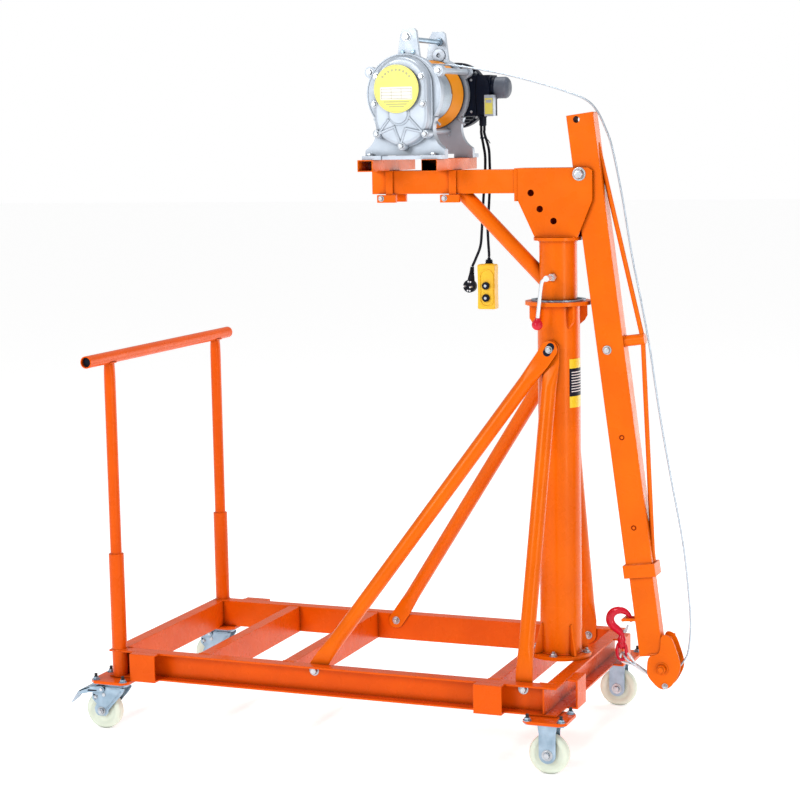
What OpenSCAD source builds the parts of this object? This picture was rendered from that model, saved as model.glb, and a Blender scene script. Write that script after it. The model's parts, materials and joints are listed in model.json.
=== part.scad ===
// Mobile slewing hoist crane: a wheeled channel frame, a braced column, a slewing head that carries
// an electric drum winch, and a telescopic boom folded down beside the column.
// X runs along the frame toward the boom, Y across it, Z up from the floor under the frame's centre.

/* [Base frame] */
// Length of the channel frame
base_length = 1244; // [1200:2:1300]
// Width of the channel frame
base_width = 642; // [620:2:680]
// Height of the channel section
rail_height = 74; // [70:1:80]
// Width of the channel flanges
flange_width = 36; // [32:1:42]
// Floor to the underside of the channels
rail_z = 143; // [143:1:143]

/* [Wheels] */
// Diameter of the four wheels
wheel_dia = 102; // [98:1:104]
// Width of the four wheels
wheel_width = 28; // [24:1:30]

/* [Push handle] */
// Height of the handle bar's axis
handle_z = 998; // [950:1:1050]
// Outside diameter of the handle posts
post_dia = 30; // [26:1:32]
// Outside diameter of the handle sockets
socket_dia = 40; // [38:1:42]

/* [Column] */
// Outside diameter of the lower column
column_dia = 108; // [104:1:110]
// Outside diameter of the slewing tube
slew_dia = 96; // [90:1:98]
// Diameter of the brace tubes
brace_dia = 39; // [34:1:42]

/* [Boom] */
// Angle the folded boom leans away from the column
boom_lean = 7.5; // [7.5:0.1:8]
// Depth of the outer boom section
boom_depth = 70; // [66:1:70]
// Width of the outer boom section
boom_width = 44; // [40:1:46]

/* [Winch] */
// Radius of the winch end frames
frame_r = 100; // [96:1:102]
// Radius of the wound rope on the drum
wound_r = 72; // [68:1:74]

/* [Hidden] */
$fn = 64;

hx = base_length / 2;
hy = base_width / 2;
rail_top = rail_z + rail_height;
flange_t = 5;
web_t = 4.5;
web_out = flange_width - web_t;
bar_x = -598;
post_y = 306;
socket_top = 476;
axle_z = wheel_dia / 2;
caster_x = 602;
caster_y = 316;
trail = 40;
column_x = 536;
column_top = 1138;
washer_top = 1142;
head_z = 1299;
pivot_x = 602;
pivot_z = 1457;
pin_r = 8.5;
lock_radius = 135;
winch_x = 170;
winch_z = 1664;
drum_r = 89;
far_plate = 90;
tie_x = 92;
tie_z = 56;
foot_z = 1500;
arm_z = 1410;
lever_z = 1200;
lever_y = -98;
tail = 148;
boom_len = 1030;
inner_depth = 61.4;
inner_width = 35.4;
boom_off = -17.5;
sheave_x = 809;
sheave_z = 205;
brace_top = [534, 1020];
long_brace_y = 78;
pendant_x = 312;
pendant_y = 100;
pendant_z = 1104;

orange = [0.93, 0.33, 0.07];
zinc = [0.62, 0.67, 0.7];
alu = [0.72, 0.74, 0.76];
black = [0.1, 0.1, 0.11];
ivory = [0.9, 0.88, 0.78];
yellow = [0.96, 0.8, 0.05];
red = [0.8, 0.05, 0.1];

// helpers

// A rod between two points.
module rod(p, q, r) {
  d = q - p;
  translate(p)
    rotate([0, acos(d[2] / norm(d)), atan2(d[1], d[0])])
      cylinder(r = r, h = norm(d));
}

// A cylinder along Y, from y0 to y1.
module ycyl(x, z, r, y0, y1) {
  translate([x, y0, z])
    rotate([-90, 0, 0])
      cylinder(r = r, h = y1 - y0);
}

// A box between two corners.
module block(a, b) {
  translate(a)
    cube(b - a);
}

// A hexagon head along Y with a washer behind it; s is the side it faces.
module ybolt(x, y, z, r, s) {
  h = r * 0.75;
  ycyl(x, z, r * 1.35, min(y, y + s * 1.5), max(y, y + s * 1.5));
  translate([x, s > 0 ? y + 1.5 : y - 1.5 - h, z])
    rotate([-90, 0, 0])
      cylinder(r = r, h = h, $fn = 6);
}

// A hexagon head standing on z.
module zbolt(x, y, z, r) {
  translate([x, y, z])
    cylinder(r = r * 1.35, h = 1.5);
  translate([x, y, z + 1.5])
    cylinder(r = r, h = r * 0.8, $fn = 6);
}

// A hexagon nut standing on z, with the end of its stud.
module znut(x, y, z, r) {
  zbolt(x, y, z, r);
  translate([x, y, z + 1.5 + r * 0.8])
    cylinder(r = r * 0.5, h = 6);
}

// A flat outline in the XZ plane, given thickness from y0 to y1.
module wall(pts, y0, y1) {
  translate([0, y1, 0])
    rotate([90, 0, 0])
      linear_extrude(y1 - y0)
        polygon(pts);
}

// base frame

// A channel along X whose flanges face the side s.
module side_rail(s) {
  a = s * (hy - flange_width);
  b = s * hy;
  w = s * (hy - web_out);
  difference() {
    union() {
      block([-hx, min(a, b), rail_top - flange_t], [hx, max(a, b), rail_top]);
      block([-hx, min(a, b), rail_z], [hx, max(a, b), rail_z + flange_t]);
      block([flange_width - hx, min(a, w), rail_z + flange_t], [hx - flange_width, max(a, w), rail_top - flange_t]);
    }
    translate([bar_x, s * post_y, rail_z - 1])
      cylinder(d = socket_dia, h = rail_height + 2);
  }
}

// A channel across the frame whose flanges face the end s.
module end_rail(s) {
  a = s * (hx - flange_width);
  b = s * hx;
  w = s * (hx - web_out);
  difference() {
    union() {
      block([min(a, b), flange_width - hy, rail_top - flange_t], [max(a, b), hy - flange_width, rail_top]);
      block([min(a, b), flange_width - hy, rail_z], [max(a, b), hy - flange_width, rail_z + flange_t]);
      block([min(a, w), -hy, rail_z + flange_t], [max(a, w), hy, rail_top - flange_t]);
    }
    for (t = [-1, 1])
      translate([bar_x, t * post_y, rail_z - 1])
        cylinder(d = socket_dia, h = rail_height + 2);
  }
}

module near_rail() {
  color(orange)
    side_rail(-1);
}

module far_rail() {
  color(orange)
    side_rail(1);
}

module rear_end_rail() {
  color(orange)
    end_rail(-1);
}

module front_end_rail() {
  color(orange)
    end_rail(1);
}

// Three channels across the frame; x is each one's rear edge.
module cross_members() {
  y = hy - flange_width;
  color(orange)
    for (x = [-372, -128, 434]) {
      block([x, -y, rail_top - flange_t], [x + 32, y, rail_top]);
      block([x, -y, rail_z], [x + 32, y, rail_z + flange_t]);
      block([x + 32 - web_t, -y, rail_z + flange_t], [x + 32, y, rail_top - flange_t]);
    }
}

// A sleeve bent around the outside of a side rail; x is its centre.
module side_pocket(x, s) {
  y = s * hy;
  o = s * (hy + 26);
  block([x - 37, min(y, o), rail_top - 5], [x + 37, max(y, o), rail_top]);
  block([x - 37, min(y, o), rail_z], [x + 37, max(y, o), rail_z + 5]);
  block([x - 37, min(o, o - s * 5), rail_z + 5], [x + 37, max(o, o - s * 5), rail_top - 5]);
}

// A sleeve bent around the outside of the front end rail; y is its centre.
module end_pocket(y) {
  block([hx, y - 37, rail_top - 5], [hx + 28, y + 37, rail_top]);
  block([hx, y - 37, rail_z], [hx + 28, y + 37, rail_z + 5]);
  block([hx + 23, y - 37, rail_z + 5], [hx + 28, y + 37, rail_top - 5]);
}

module stabiliser_pockets() {
  color(orange) {
    side_pocket(-510, -1);
    side_pocket(452, -1);
    side_pocket(-500, 1);
    side_pocket(452, 1);
    end_pocket(-198);
    end_pocket(228);
  }
}

// Mounting plates with clipped corners under the four corners of the frame.
module caster_plates() {
  color(orange)
    for (x = [-caster_x, caster_x])
      for (y = [-caster_y, caster_y])
        translate([x, y, rail_z - 8])
          linear_extrude(8)
            polygon([[-56, -40], [-40, -56], [40, -56], [56, -40], [56, 40], [40, 56], [-40, 56], [-56, 40]]);
}

module handle_sockets() {
  color(orange)
    for (s = [-1, 1])
      difference() {
        translate([bar_x, s * post_y, rail_z + 1])
          cylinder(d = socket_dia, h = socket_top - rail_z - 1);
        translate([bar_x, s * post_y, 236])
          cylinder(d = post_dia + 0.1, h = 400);
      }
}

// column

module column_tube() {
  color(orange)
    difference() {
      translate([column_x, 0, rail_top + 10])
        cylinder(d = column_dia, h = column_top - rail_top - 20);
      translate([column_x, 0, rail_top])
        cylinder(d = column_dia - 10, h = column_top);
    }
}

// Round plates at the foot and the head of the column, each with four triangular ribs.
module column_flanges() {
  color(orange) {
    difference() {
      translate([column_x, 0, rail_top])
        cylinder(r = 80, h = 10);
      for (a = [0, 90, 180, 270])
        translate([column_x + 68 * cos(a), 68 * sin(a), rail_top - 1])
          cylinder(r = 5, h = 12);
    }
    difference() {
      translate([column_x, 0, column_top - 10])
        cylinder(r = 85, h = 10);
      translate([column_x, 0, column_top - 11])
        cylinder(r = 44, h = 12);
    }
    for (a = [45, 135, 225, 315])
      translate([column_x, 0, 0])
        rotate([0, 0, a]) {
          wall([[column_dia / 2, 227], [78, 227], [78, 234], [column_dia / 2 + 4, 306], [column_dia / 2, 306]], -3, 3);
          wall([[column_dia / 2, 1128], [82, 1128], [82, 1096], [74, 1084], [column_dia / 2, 1070]], -3, 3);
        }
  }
}

module thrust_washer() {
  color(zinc)
    difference() {
      translate([column_x, 0, column_top])
        cylinder(r = 70, h = washer_top - column_top);
      translate([column_x, 0, column_top - 1])
        cylinder(r = 30, h = 8);
    }
}

// A section across a brace, a high along u and b wide along v; p squares it off.
function section(c, u, v, a, b, p) = [for (j = [0 : 23])
  let (x = cos(j * 15), z = sin(j * 15)) c + b * sign(x) * pow(abs(x), p) * v + a * sign(z) * pow(abs(z), p) * u];

// A closed skin over sections of 24 points.
module skin(rings) {
  m = len(rings);
  polyhedron(
    points = [for (r = rings) for (q = r) q],
    faces = concat(
      [[for (j = [0 : 23]) j]],
      [for (i = [0 : m - 2]) for (j = [0 : 23])
        [i * 24 + j, (i + 1) * 24 + j, (i + 1) * 24 + (j + 1) % 24, i * 24 + (j + 1) % 24]],
      [[for (j = [0 : 23]) m * 24 - 1 - j]]));
}

// The pressed flat end of a brace: distance from the bolt and half width, from the tip inward.
FLAT = [[-22, 4], [-20, 9], [-14, 17], [-6, 21.2], [0, 22], [40, 22]];

// A round tube with both ends pressed flat, from a bolt on the rail to a bolt on the column.
// s is the side of the column; y1 is the distance of the flat's middle from the column's axis.
module brace(x0, y1, s) {
  p = [x0, s * (hy - flange_width - 3), 199];
  q = [brace_top[0], s * y1, brace_top[1]];
  t = atan2(q[2] - p[2], q[0] - p[0]);
  e = [cos(t), 0, sin(t)];
  u = [-sin(t), 0, cos(t)];
  v = [0, 1, 0];
  a = p + 44 * e;
  c = q - 44 * e;
  n = (c - a) / norm(c - a);
  u2 = cross(n, v) / norm(cross(n, v));
  v2 = cross(u2, n);
  r = brace_dia / 2;
  skin(concat(
    [for (f = FLAT) section(p + f[0] * e, u, v, f[1], 3, 0.3)],
    [section(a + 56 * n, u2, v2, r, r, 1), section(c - 56 * n, u2, v2, r, r, 1)],
    [for (i = [5 : -1 : 0]) section(q - FLAT[i][0] * e, u, v, FLAT[i][1], 3, 0.3)]));
}

module near_long_brace() {
  color(orange)
    brace(-38, long_brace_y, -1);
}

module near_short_brace() {
  color(orange)
    brace(527, 63, -1);
}

module far_long_brace() {
  color(orange)
    brace(-38, long_brace_y, 1);
}

module far_short_brace() {
  color(orange)
    brace(527, 63, 1);
}

// Plated bolts of the root: brace ends, column foot and caster plates.
module base_bolts() {
  color(zinc) {
    for (s = [-1, 1]) {
      ycyl(brace_top[0], brace_top[1], 14, s > 0 ? column_dia / 2 : -60, s > 0 ? 60 : -column_dia / 2);
      ycyl(brace_top[0], brace_top[1], 12, s > 0 ? 66 : 3 - long_brace_y, s > 0 ? long_brace_y - 3 : -66);
      ybolt(brace_top[0], s * (long_brace_y + 3), brace_top[1], 9, s);
      for (x = [-38, 527]) {
        ybolt(x, s * (hy - web_out), 199, 9, s);
        ybolt(x, s * (hy - flange_width - 6), 199, 8, -s);
      }
    }
    for (a = [0, 90, 180, 270])
      zbolt(column_x + 68 * cos(a), 68 * sin(a), rail_top + 10, 8);
    for (x = [-caster_x, caster_x])
      for (y = [-caster_y, caster_y])
        for (e = [-1, 1]) {
          znut(x + (x > 0 ? 42 : -42), y + e * 40, rail_z, 7);
          if (e * y > 0)
            znut(x - (x > 0 ? 42 : -42), y + e * 46, rail_z, 7);
        }
  }
}

// casters

// Pressed zinc plates of the four casters, with the two fixed forks.
module caster_mounts() {
  color(zinc) {
    for (x = [-caster_x, caster_x])
      for (y = [-caster_y, caster_y])
        block([x - 50, y - 45, rail_z - 12], [x + 50, y + 45, rail_z - 8]);
    for (y = [-caster_y, caster_y]) {
      for (e = [-1, 1]) {
        f = y + e * 19.5;
        block([caster_x - 24, f - 2, axle_z], [caster_x + 24, f + 2, rail_z - 12]);
        ycyl(caster_x, axle_z, 24, f - 2, f + 2);
        ybolt(caster_x, f + e * 2, axle_z, 8, e);
      }
      block([caster_x - 24, y - 17.5, rail_z - 16], [caster_x + 24, y + 17.5, rail_z - 12]);
      ycyl(caster_x, axle_z, 5.95, y - 17.5, y + 17.5);
    }
    for (y = [-caster_y, caster_y])
      translate([-caster_x, y, rail_z - 16])
        cylinder(r = 8, h = 4);
  }
}

// A swivel fork with its wheel trailing toward -X.
module swivel_fork(y) {
  translate([-caster_x, y, rail_z - 26])
    difference() {
      cylinder(r = 34, h = 13.5);
      translate([0, 0, 9])
        cylinder(r = 8.05, h = 6);
    }
  for (e = [-1, 1]) {
    f = y + e * 19.5;
    wall([[-caster_x - 34, rail_z - 25.5], [-caster_x + 30, rail_z - 25.5], [-caster_x - 20, axle_z - 8],
          [-caster_x - trail - 16, axle_z - 8], [-caster_x - trail - 20, axle_z + 10]], f - 2, f + 2);
    ycyl(-caster_x - trail, axle_z, 18, f - 2, f + 2);
    ybolt(-caster_x - trail, f + e * 2, axle_z, 8, e);
  }
  ycyl(-caster_x - trail, axle_z, 5.95, y - 17.5, y + 17.5);
  ycyl(-caster_x - 36, rail_z - 31, 4.45, y - 30, y + 30);
}

module near_rear_fork() {
  color(zinc)
    swivel_fork(-caster_y);
}

module far_rear_fork() {
  color(zinc)
    swivel_fork(caster_y);
}

// A nylon wheel with a raised hub, bored for its axle.
module wheel(x, y) {
  w = wheel_width / 2;
  difference() {
    union() {
      ycyl(x, axle_z, axle_z - 3, y - w, y + w);
      ycyl(x, axle_z, axle_z, y - w + 3, y + w - 3);
      ycyl(x, axle_z, 14, y - 16.5, y + 16.5);
    }
    ycyl(x, axle_z, 6, y - 20, y + 20);
    for (e = [-1, 1])
      translate([x, y + e * w, axle_z])
        rotate([90, 0, 0])
          difference() {
            cylinder(r = 36, h = 6, center = true);
            cylinder(r = 17, h = 8, center = true);
          }
  }
}

module near_rear_wheel() {
  color(ivory)
    wheel(-caster_x - trail, -caster_y);
}

module far_rear_wheel() {
  color(ivory)
    wheel(-caster_x - trail, caster_y);
}

module near_front_wheel() {
  color(ivory)
    wheel(caster_x, -caster_y);
}

module far_front_wheel() {
  color(ivory)
    wheel(caster_x, caster_y);
}

// A brake pedal that rocks on a pin across its fork.
module pedal(y) {
  x = -caster_x - 36;
  z = rail_z - 31;
  difference() {
    union() {
      ycyl(x, z, 8, y - 28, y - 22);
      ycyl(x, z, 8, y + 22, y + 28);
      for (e = [-25, 25])
        wall([[x, z + 8], [x - 66, z - 8], [x - 66, z - 16], [x - 4, z - 7]], y + e - 3, y + e + 3);
      wall([[x - 56, z - 4], [x - 60, z - 10], [x - 102, z - 52], [x - 106, z - 47]], y - 28, y + 28);
    }
    ycyl(x, z, 4.5, y - 32, y + 32);
  }
}

module near_rear_pedal() {
  color(zinc)
    pedal(-caster_y);
}

module far_rear_pedal() {
  color(zinc)
    pedal(caster_y);
}

// push handle

module handle_posts() {
  color(orange)
    for (s = [-1, 1])
      translate([bar_x, s * post_y, 250])
        difference() {
          cylinder(d = post_dia, h = handle_z - 262);
          translate([0, 0, -1])
            cylinder(d = post_dia - 6, h = 640);
        }
}

module handle_bar() {
  color(orange)
    difference() {
      ycyl(bar_x, handle_z, 16, -425, 388);
      ycyl(bar_x, handle_z, 13, -430, 392);
      for (s = [-1, 1])
        translate([bar_x, s * post_y, 250])
          cylinder(d = post_dia, h = handle_z - 262);
    }
}

// slewing head

// The slewing tube with its round top plate and a spigot inside the lower column.
module upper_column() {
  color(orange)
    difference() {
      union() {
        translate([column_x, 0, washer_top + 0.4])
          cylinder(d = slew_dia, h = head_z - 8 - washer_top - 0.4);
        translate([column_x, 0, head_z - 8])
          cylinder(r = 62, h = 8);
        translate([column_x, 0, 1040])
          cylinder(r = 29.95, h = washer_top - 1039);
      }
      ycyl(column_x, lever_z, 6, -60, 0);
      translate([column_x, 0, 1030])
        cylinder(r = 22, h = 240);
    }
}

// Two side plates with the boom pivot and three locking holes, closed at the arm's end.
module head_plates() {
  color(orange) {
    difference() {
      for (s = [-1, 1])
        wall([[438, 1473], [625, 1473], [635, 1467], [635, 1392], [596, head_z], [484, head_z], [438, 1396]],
             s > 0 ? 25 : -33, s > 0 ? 33 : -25);
      for (a = [20, 40, 60])
        ycyl(pivot_x - lock_radius * cos(a), pivot_z - lock_radius * sin(a), pin_r, -40, 40);
      ycyl(pivot_x, pivot_z, 10, -40, 40);
    }
    block([431, -33, 1390], [438, 33, 1473]);
  }
}

// The winch arm and its round strut.
module arm() {
  color(orange) {
    difference() {
      block([42, -30, arm_z], [431, 30, arm_z + 60]);
      block([41, -26, arm_z + 4], [400, 26, arm_z + 56]);
    }
    difference() {
      rod([284, 0, arm_z - 1], [500, 0, 1190], 19);
      block([200, -30, arm_z], [500, 30, arm_z + 40]);
      translate([column_x, 0, 1100])
        cylinder(d = slew_dia, h = 200);
    }
  }
}

// Two box tubes across the arm that carry the winch.
module platform_tubes() {
  color(orange)
    for (x = [73, 247])
      difference() {
        block([x - 21, -150, arm_z + 60], [x + 21, 150, foot_z]);
        block([x - 18, -151, arm_z + 63], [x + 18, 151, foot_z - 3]);
      }
}

// Straps that clamp the platform tubes to the arm.
module platform_clamps() {
  color(orange)
    for (x = [92, 266])
      for (s = [-1, 1]) {
        block([x - 10, s > 0 ? 30 : -36, arm_z - 22], [x + 10, s > 0 ? 36 : -30, arm_z + 60]);
        block([x - 32, s > 0 ? 30 : -42, arm_z - 22], [x + 20, s > 0 ? 42 : -30, arm_z - 2]);
      }
}

// The boom pivot bolt and the clamp bolts.
module slew_bolts() {
  color(zinc) {
    ycyl(pivot_x, pivot_z, 9.95, -33, 33);
    ybolt(pivot_x, -33, pivot_z, 12, -1);
    ybolt(pivot_x, 33, pivot_z, 12, 1);
    for (x = [72, 246])
      for (s = [-1, 1])
        ybolt(x, s * 42, arm_z - 11, 5.5, s);
    for (x = [79, 251])
      for (y = [-130, far_plate + 32])
        zbolt(x, y, foot_z + 10, 6);
  }
}

// winch

// The outline of an end frame: a disc on a broad foot with hollowed flanks, and a lug for each upper tie bar.
module frame_outline(r) {
  foot = foot_z + 10 - winch_z;
  circle(r);
  for (s = [-1, 1]) {
    translate([s * tie_x, tie_z])
      circle(14);
    rotate(atan2(tie_z, s * tie_x))
      translate([0, -14])
        square([norm([tie_x, tie_z]), 28]);
  }
  difference() {
    polygon([[-108, foot], [108, foot], [108, foot + 10], [84, -60], [-84, -60], [-108, foot + 10]]);
    for (s = [-1, 1])
      translate([s * 134, -89])
        circle(57);
  }
}

// Cast end frames on their feet, the drum's axle, tie bars and the hanger ears with their rod.
module winch_frame() {
  color(alu) {
    for (f = [[-118, -94, frame_r], [far_plate, far_plate + 16, frame_r - 3]])
      translate([winch_x, f[1], winch_z])
        rotate([90, 0, 0])
          linear_extrude(f[1] - f[0])
            frame_outline(f[2]);
    for (x = [-108, 56])
      for (f = [[-142, -94], [far_plate, far_plate + 46]])
        block([winch_x + x, f[0], foot_z], [winch_x + x + 52, f[1], foot_z + 10]);
    for (s = [-1, 1]) {
      ycyl(winch_x + s * tie_x, winch_z + tie_z, 7.5, -94, far_plate);
      ycyl(winch_x + s * 42, winch_z - 95, 6, -94, far_plate);
    }
    for (f = [[-114, -102], [far_plate + 2, far_plate + 14]])
      wall([[150, 1740], [214, 1740], [204, 1820], [198, 1826], [170, 1826], [162, 1812]], f[0], f[1]);
    ycyl(190, 1799, 6, -102, far_plate + 2);
    ycyl(winch_x, winch_z, 19.95, -94, far_plate);
  }
}

// Oval gear cover with a ribbed hub below the badge.
module gear_cover() {
  color(alu) {
    translate([172, -118, 1645])
      rotate([90, 0, 0])
        linear_extrude(30) {
          translate([0, 38])
            circle(75);
          translate([0, -38])
            circle(75);
          translate([-75, -38])
            square([150, 76]);
        }
    ycyl(168, 1614, 24, -156, -148);
    ycyl(165, 1676, 57, -156, -148);
    for (a = [200, 235, 270, 305, 340])
      translate([168, -154, 1614])
        rotate([0, -a, 0])
          block([20, 0, -3], [62, 6, 3]);
  }
}

module winch_badge() {
  color(yellow)
    ycyl(165, 1676, 60, -158, -156);
}

module winch_bolts() {
  color(zinc) {
    for (p = [[108, 1709], [101, 1640], [106, 1565], [172, 1534], [229, 1706], [232, 1638], [236, 1563]])
      ybolt(p[0], -148, p[1], 5.5, -1);
    for (s = [-1, 1])
      ybolt(winch_x + s * tie_x, -118, winch_z + tie_z, 7, -1);
    ybolt(178, -114, 1806, 9, -1);
  }
}

// Finned motor behind the far end frame, and the domed cylinder beside it.
module motor() {
  y0 = far_plate + 16;
  color(black) {
    ycyl(winch_x, winch_z, 82, y0, 262);
    for (y = [y0 + 14 : 12 : 238])
      ycyl(winch_x, winch_z, 87, y, y + 5);
    ycyl(winch_x, winch_z, 88, 262, 300);
    translate([321, y0 + 34, 1679])
      rotate([0, 90, 0])
        cylinder(r = 26, h = 46);
  }
}

// Switch box on the motor's side, with a small block on its near face and the cable gland below.
module control_box() {
  y0 = far_plate + 16;
  color(black)
    difference() {
      union() {
        block([238, y0 + 1, 1607], [321, y0 + 60, 1712]);
        block([309, y0 - 8, 1606], [333, y0 + 10, 1660]);
        translate([298, 116, 1581])
          cylinder(r = 9, h = 27);
      }
      ycyl(winch_x, winch_z, 88.5, 80, 310);
    }
}

// The wound rope, a short way clear of the far flange.
module drum_core() {
  color(zinc)
    difference() {
      ycyl(winch_x, winch_z, wound_r, -79, 43);
      ycyl(winch_x, winch_z, 20, -90, 70);
    }
}

// Flanges of the drum; the far one is dished and opens out from the wound rope to its rim.
module drum_flanges() {
  color(yellow)
    translate([winch_x, 0, winch_z])
      rotate([-90, 0, 0])
        rotate_extrude()
          polygon([[20, 43], [wound_r, 43], [drum_r, 78], [drum_r, 86], [20, 86]]);
  color(yellow)
    translate([winch_x, 0, winch_z])
      rotate([-90, 0, 0])
        rotate_extrude()
          translate([20, -87])
            square([drum_r - 20, 8]);
}

// pendant

// Rounded box with a raised panel and two button wells.
module pendant_housing() {
  color(yellow)
    difference() {
      union() {
        block([pendant_x - 24, pendant_y - 15, pendant_z], [pendant_x + 24, pendant_y + 15, pendant_z + 118]);
        for (z = [31, 87])
          ycyl(pendant_x, pendant_z + z, 16, pendant_y - 20, pendant_y - 15);
        block([pendant_x - 16, pendant_y - 20, pendant_z + 31], [pendant_x + 16, pendant_y - 15, pendant_z + 87]);
        translate([pendant_x + 4, pendant_y, pendant_z + 118])
          cylinder(r = 9, h = 20);
      }
      for (z = [30, 62])
        ycyl(pendant_x, pendant_z + z, 10.4, pendant_y - 22, pendant_y - 9);
    }
}

module button(z) {
  color(black)
    ycyl(pendant_x, pendant_z + z, 10, pendant_y - 23, pendant_y - 14);
}

module up_button() {
  button(62);
}

module down_button() {
  button(30);
}

// slew lock

module lock_lever() {
  color(zinc) {
    ycyl(column_x, lever_z, 5.95, -106, -34);
    ycyl(column_x, lever_z, 9, -64, -50);
    rod([column_x + 4, lever_y, lever_z + 2], [column_x - 12, lever_y, lever_z - 8], 5);
    rod([column_x - 12, lever_y, lever_z - 8], [column_x - 25, lever_y, lever_z - 104], 5);
  }
}

module lever_knob() {
  color(red)
    difference() {
      translate([column_x - 26, lever_y, lever_z - 116])
        rotate_extrude()
          intersection() {
            circle(r = 14);
            translate([0, -20])
              square([20, 40]);
          }
      rod([column_x - 12, lever_y, lever_z - 8], [column_x - 25, lever_y, lever_z - 104], 5);
    }
}

// boom

// Places its children in the boom's own frame: X across its depth, Z up its length, the pivot at 0.
module in_boom() {
  translate([pivot_x, 0, pivot_z])
    rotate([0, -boom_lean, 0])
      children();
}

module boom_tube() {
  w = boom_width / 2;
  color(orange)
    in_boom()
      difference() {
        union() {
          block([boom_off, -w, 10 - boom_len], [boom_off + boom_depth, w, tail]);
          block([boom_off - 7, -w - 7, -boom_len], [boom_off + boom_depth + 7, w + 7, 34 - boom_len]);
          ycyl(0, 0, 15, -24.6, 24.6);
        }
        block([boom_off + 4, 4 - w, -boom_len - 1], [boom_off + boom_depth - 4, w - 4, -40]);
        ycyl(0, 0, 10, -30, 30);
        ycyl(8, lock_radius, pin_r, -40, 40);
      }
}

// A round rod from the boom's top over a strut to its lower end.
module truss_rod() {
  x = boom_off + boom_depth;
  w = boom_width / 2;
  color(orange)
    in_boom()
      difference() {
        union() {
          rod([x - 2, 0, -430], [x + 52, 0, -430], 14);
          rod([x - 4, 0, 70], [x + 45, 0, -418], 6);
          rod([x + 45, 0, -418], [x + 45, 0, -442], 6);
          rod([x + 45, 0, -442], [x - 4, 0, -1010], 6);
        }
        block([boom_off, -w, 10 - boom_len], [x, w, tail]);
        block([boom_off - 7, -w - 7, -boom_len], [x + 7, w + 7, 34 - boom_len]);
      }
}

module boom_bolts() {
  color(zinc)
    in_boom()
      ybolt(9, -boom_width / 2, -446, 8, -1);
}

module inner_boom() {
  x0 = boom_off + (boom_depth - inner_depth) / 2;
  w = inner_width / 2;
  color(orange) {
    difference() {
      in_boom()
        difference() {
          block([x0, -w, -1235], [x0 + inner_depth, w, -560]);
          block([x0 + 4, 4 - w, -1240], [x0 + inner_depth - 4, w - 4, -550]);
        }
      ycyl(sheave_x, sheave_z, 40, -w - 1, w + 1);
    }
    in_boom() {
      for (s = [-1, 1])
        rod([x0 + 2, s * 14, -1140], [x0 - 34, s * 14, -1138], 4);
      rod([x0 - 32, -18, -1138], [x0 - 32, 18, -1138], 4);
    }
  }
}

// Side plates that carry the sheave at the boom's end.
module sheave_cheeks() {
  color(orange)
    difference() {
      for (s = [-1, 1])
        wall([[812, 291], [830, 284], [846, 252], [857, 219], [854, 200], [835, 163], [817, 151], [799, 154],
              [776, 176], [770, 191], [772, 236], [806, 242]], s > 0 ? inner_width / 2 : -inner_width / 2 - 5,
             s > 0 ? inner_width / 2 + 5 : -inner_width / 2);
      ycyl(sheave_x, sheave_z, 8, -40, 40);
    }
}

module sheave_bolts() {
  color(zinc) {
    ycyl(sheave_x, sheave_z, 7.95, -inner_width / 2 - 5, inner_width / 2 + 5);
    for (s = [-1, 1]) {
      ybolt(sheave_x, s * (inner_width / 2 + 5), sheave_z, 12, s);
      ybolt(817, s * (inner_width / 2 + 5), 160, 5.5, s);
    }
    ycyl(817, 160, 4, -inner_width / 2, inner_width / 2);
  }
}

// A grooved rope wheel.
module sheave() {
  color(zinc)
    translate([sheave_x, 0, sheave_z])
      rotate([90, 0, 0])
        rotate_extrude()
          polygon([[8, -15], [20, -15], [20, -10], [38, -10], [32, -3], [32, 3], [38, 10], [20, 10], [20, 15], [8, 15]]);
}

// hook

HOOK = [[698, 0, 273], [697, 0, 284], [687, 0, 293], [675, 0, 302], [668, 0, 314], [669, 0, 328],
        [678, 0, 339], [693, 0, 344], [708, 0, 341], [719, 0, 331], [724, 0, 316]];

// Upturned hook hung by its bowl on the boom's loop.
module hook() {
  color(red) {
    tube(smooth(HOOK, 2), 8, 12);
    translate([698, 0, 262])
      cylinder(r = 11, h = 14);
    translate([698, 0, 250])
      cylinder(r = 5, h = 13);
    translate([698, 0, 244])
      cylinder(r = 8, h = 6);
  }
}

module hook_latch() {
  color(zinc) {
    ycyl(707, 290, 3, -5, 5);
    rod([707, 0, 290], [714, 0, 307], 2.6);
  }
}

// The swivel eye below the hook, drawn as a ring around the rope's end.
module hook_eye() {
  color(red)
    difference() {
      union() {
        translate([698, 0, 230])
          rotate([90, 0, 0])
            rotate_extrude()
              translate([16, 0])
                circle(r = 5.5, $fn = 20);
        translate([698, 0, 240])
          cylinder(r = 12, h = 21.6);
      }
      translate([698, 0, 243])
        cylinder(r = 8.4, h = 7.4);
      translate([698, 0, 240])
        cylinder(r = 5.4, h = 30);
    }
}

// cords

function unit(v) = v / norm(v);

// A tube of n sides through the points; each ring faces along the path.
module tube(pts, r, n) {
  m = len(pts);
  t = [for (i = [0 : m - 1]) unit(pts[min(i + 1, m - 1)] - pts[max(i - 1, 0)])];
  k = [for (i = [0 : m - 1]) unit(cross(t[i], [0.02, 1, 0.01]))];
  polyhedron(
    points = [for (i = [0 : m - 1]) for (j = [0 : n - 1])
      pts[i] + r * (cos(j * 360 / n) * k[i] + sin(j * 360 / n) * cross(t[i], k[i]))],
    faces = concat(
      [[for (j = [0 : n - 1]) j]],
      [for (i = [0 : m - 2]) for (j = [0 : n - 1])
        [i * n + j, (i + 1) * n + j, (i + 1) * n + (j + 1) % n, i * n + (j + 1) % n]],
      [[for (j = [0 : n - 1]) (m - 1) * n + n - 1 - j]]));
}

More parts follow.
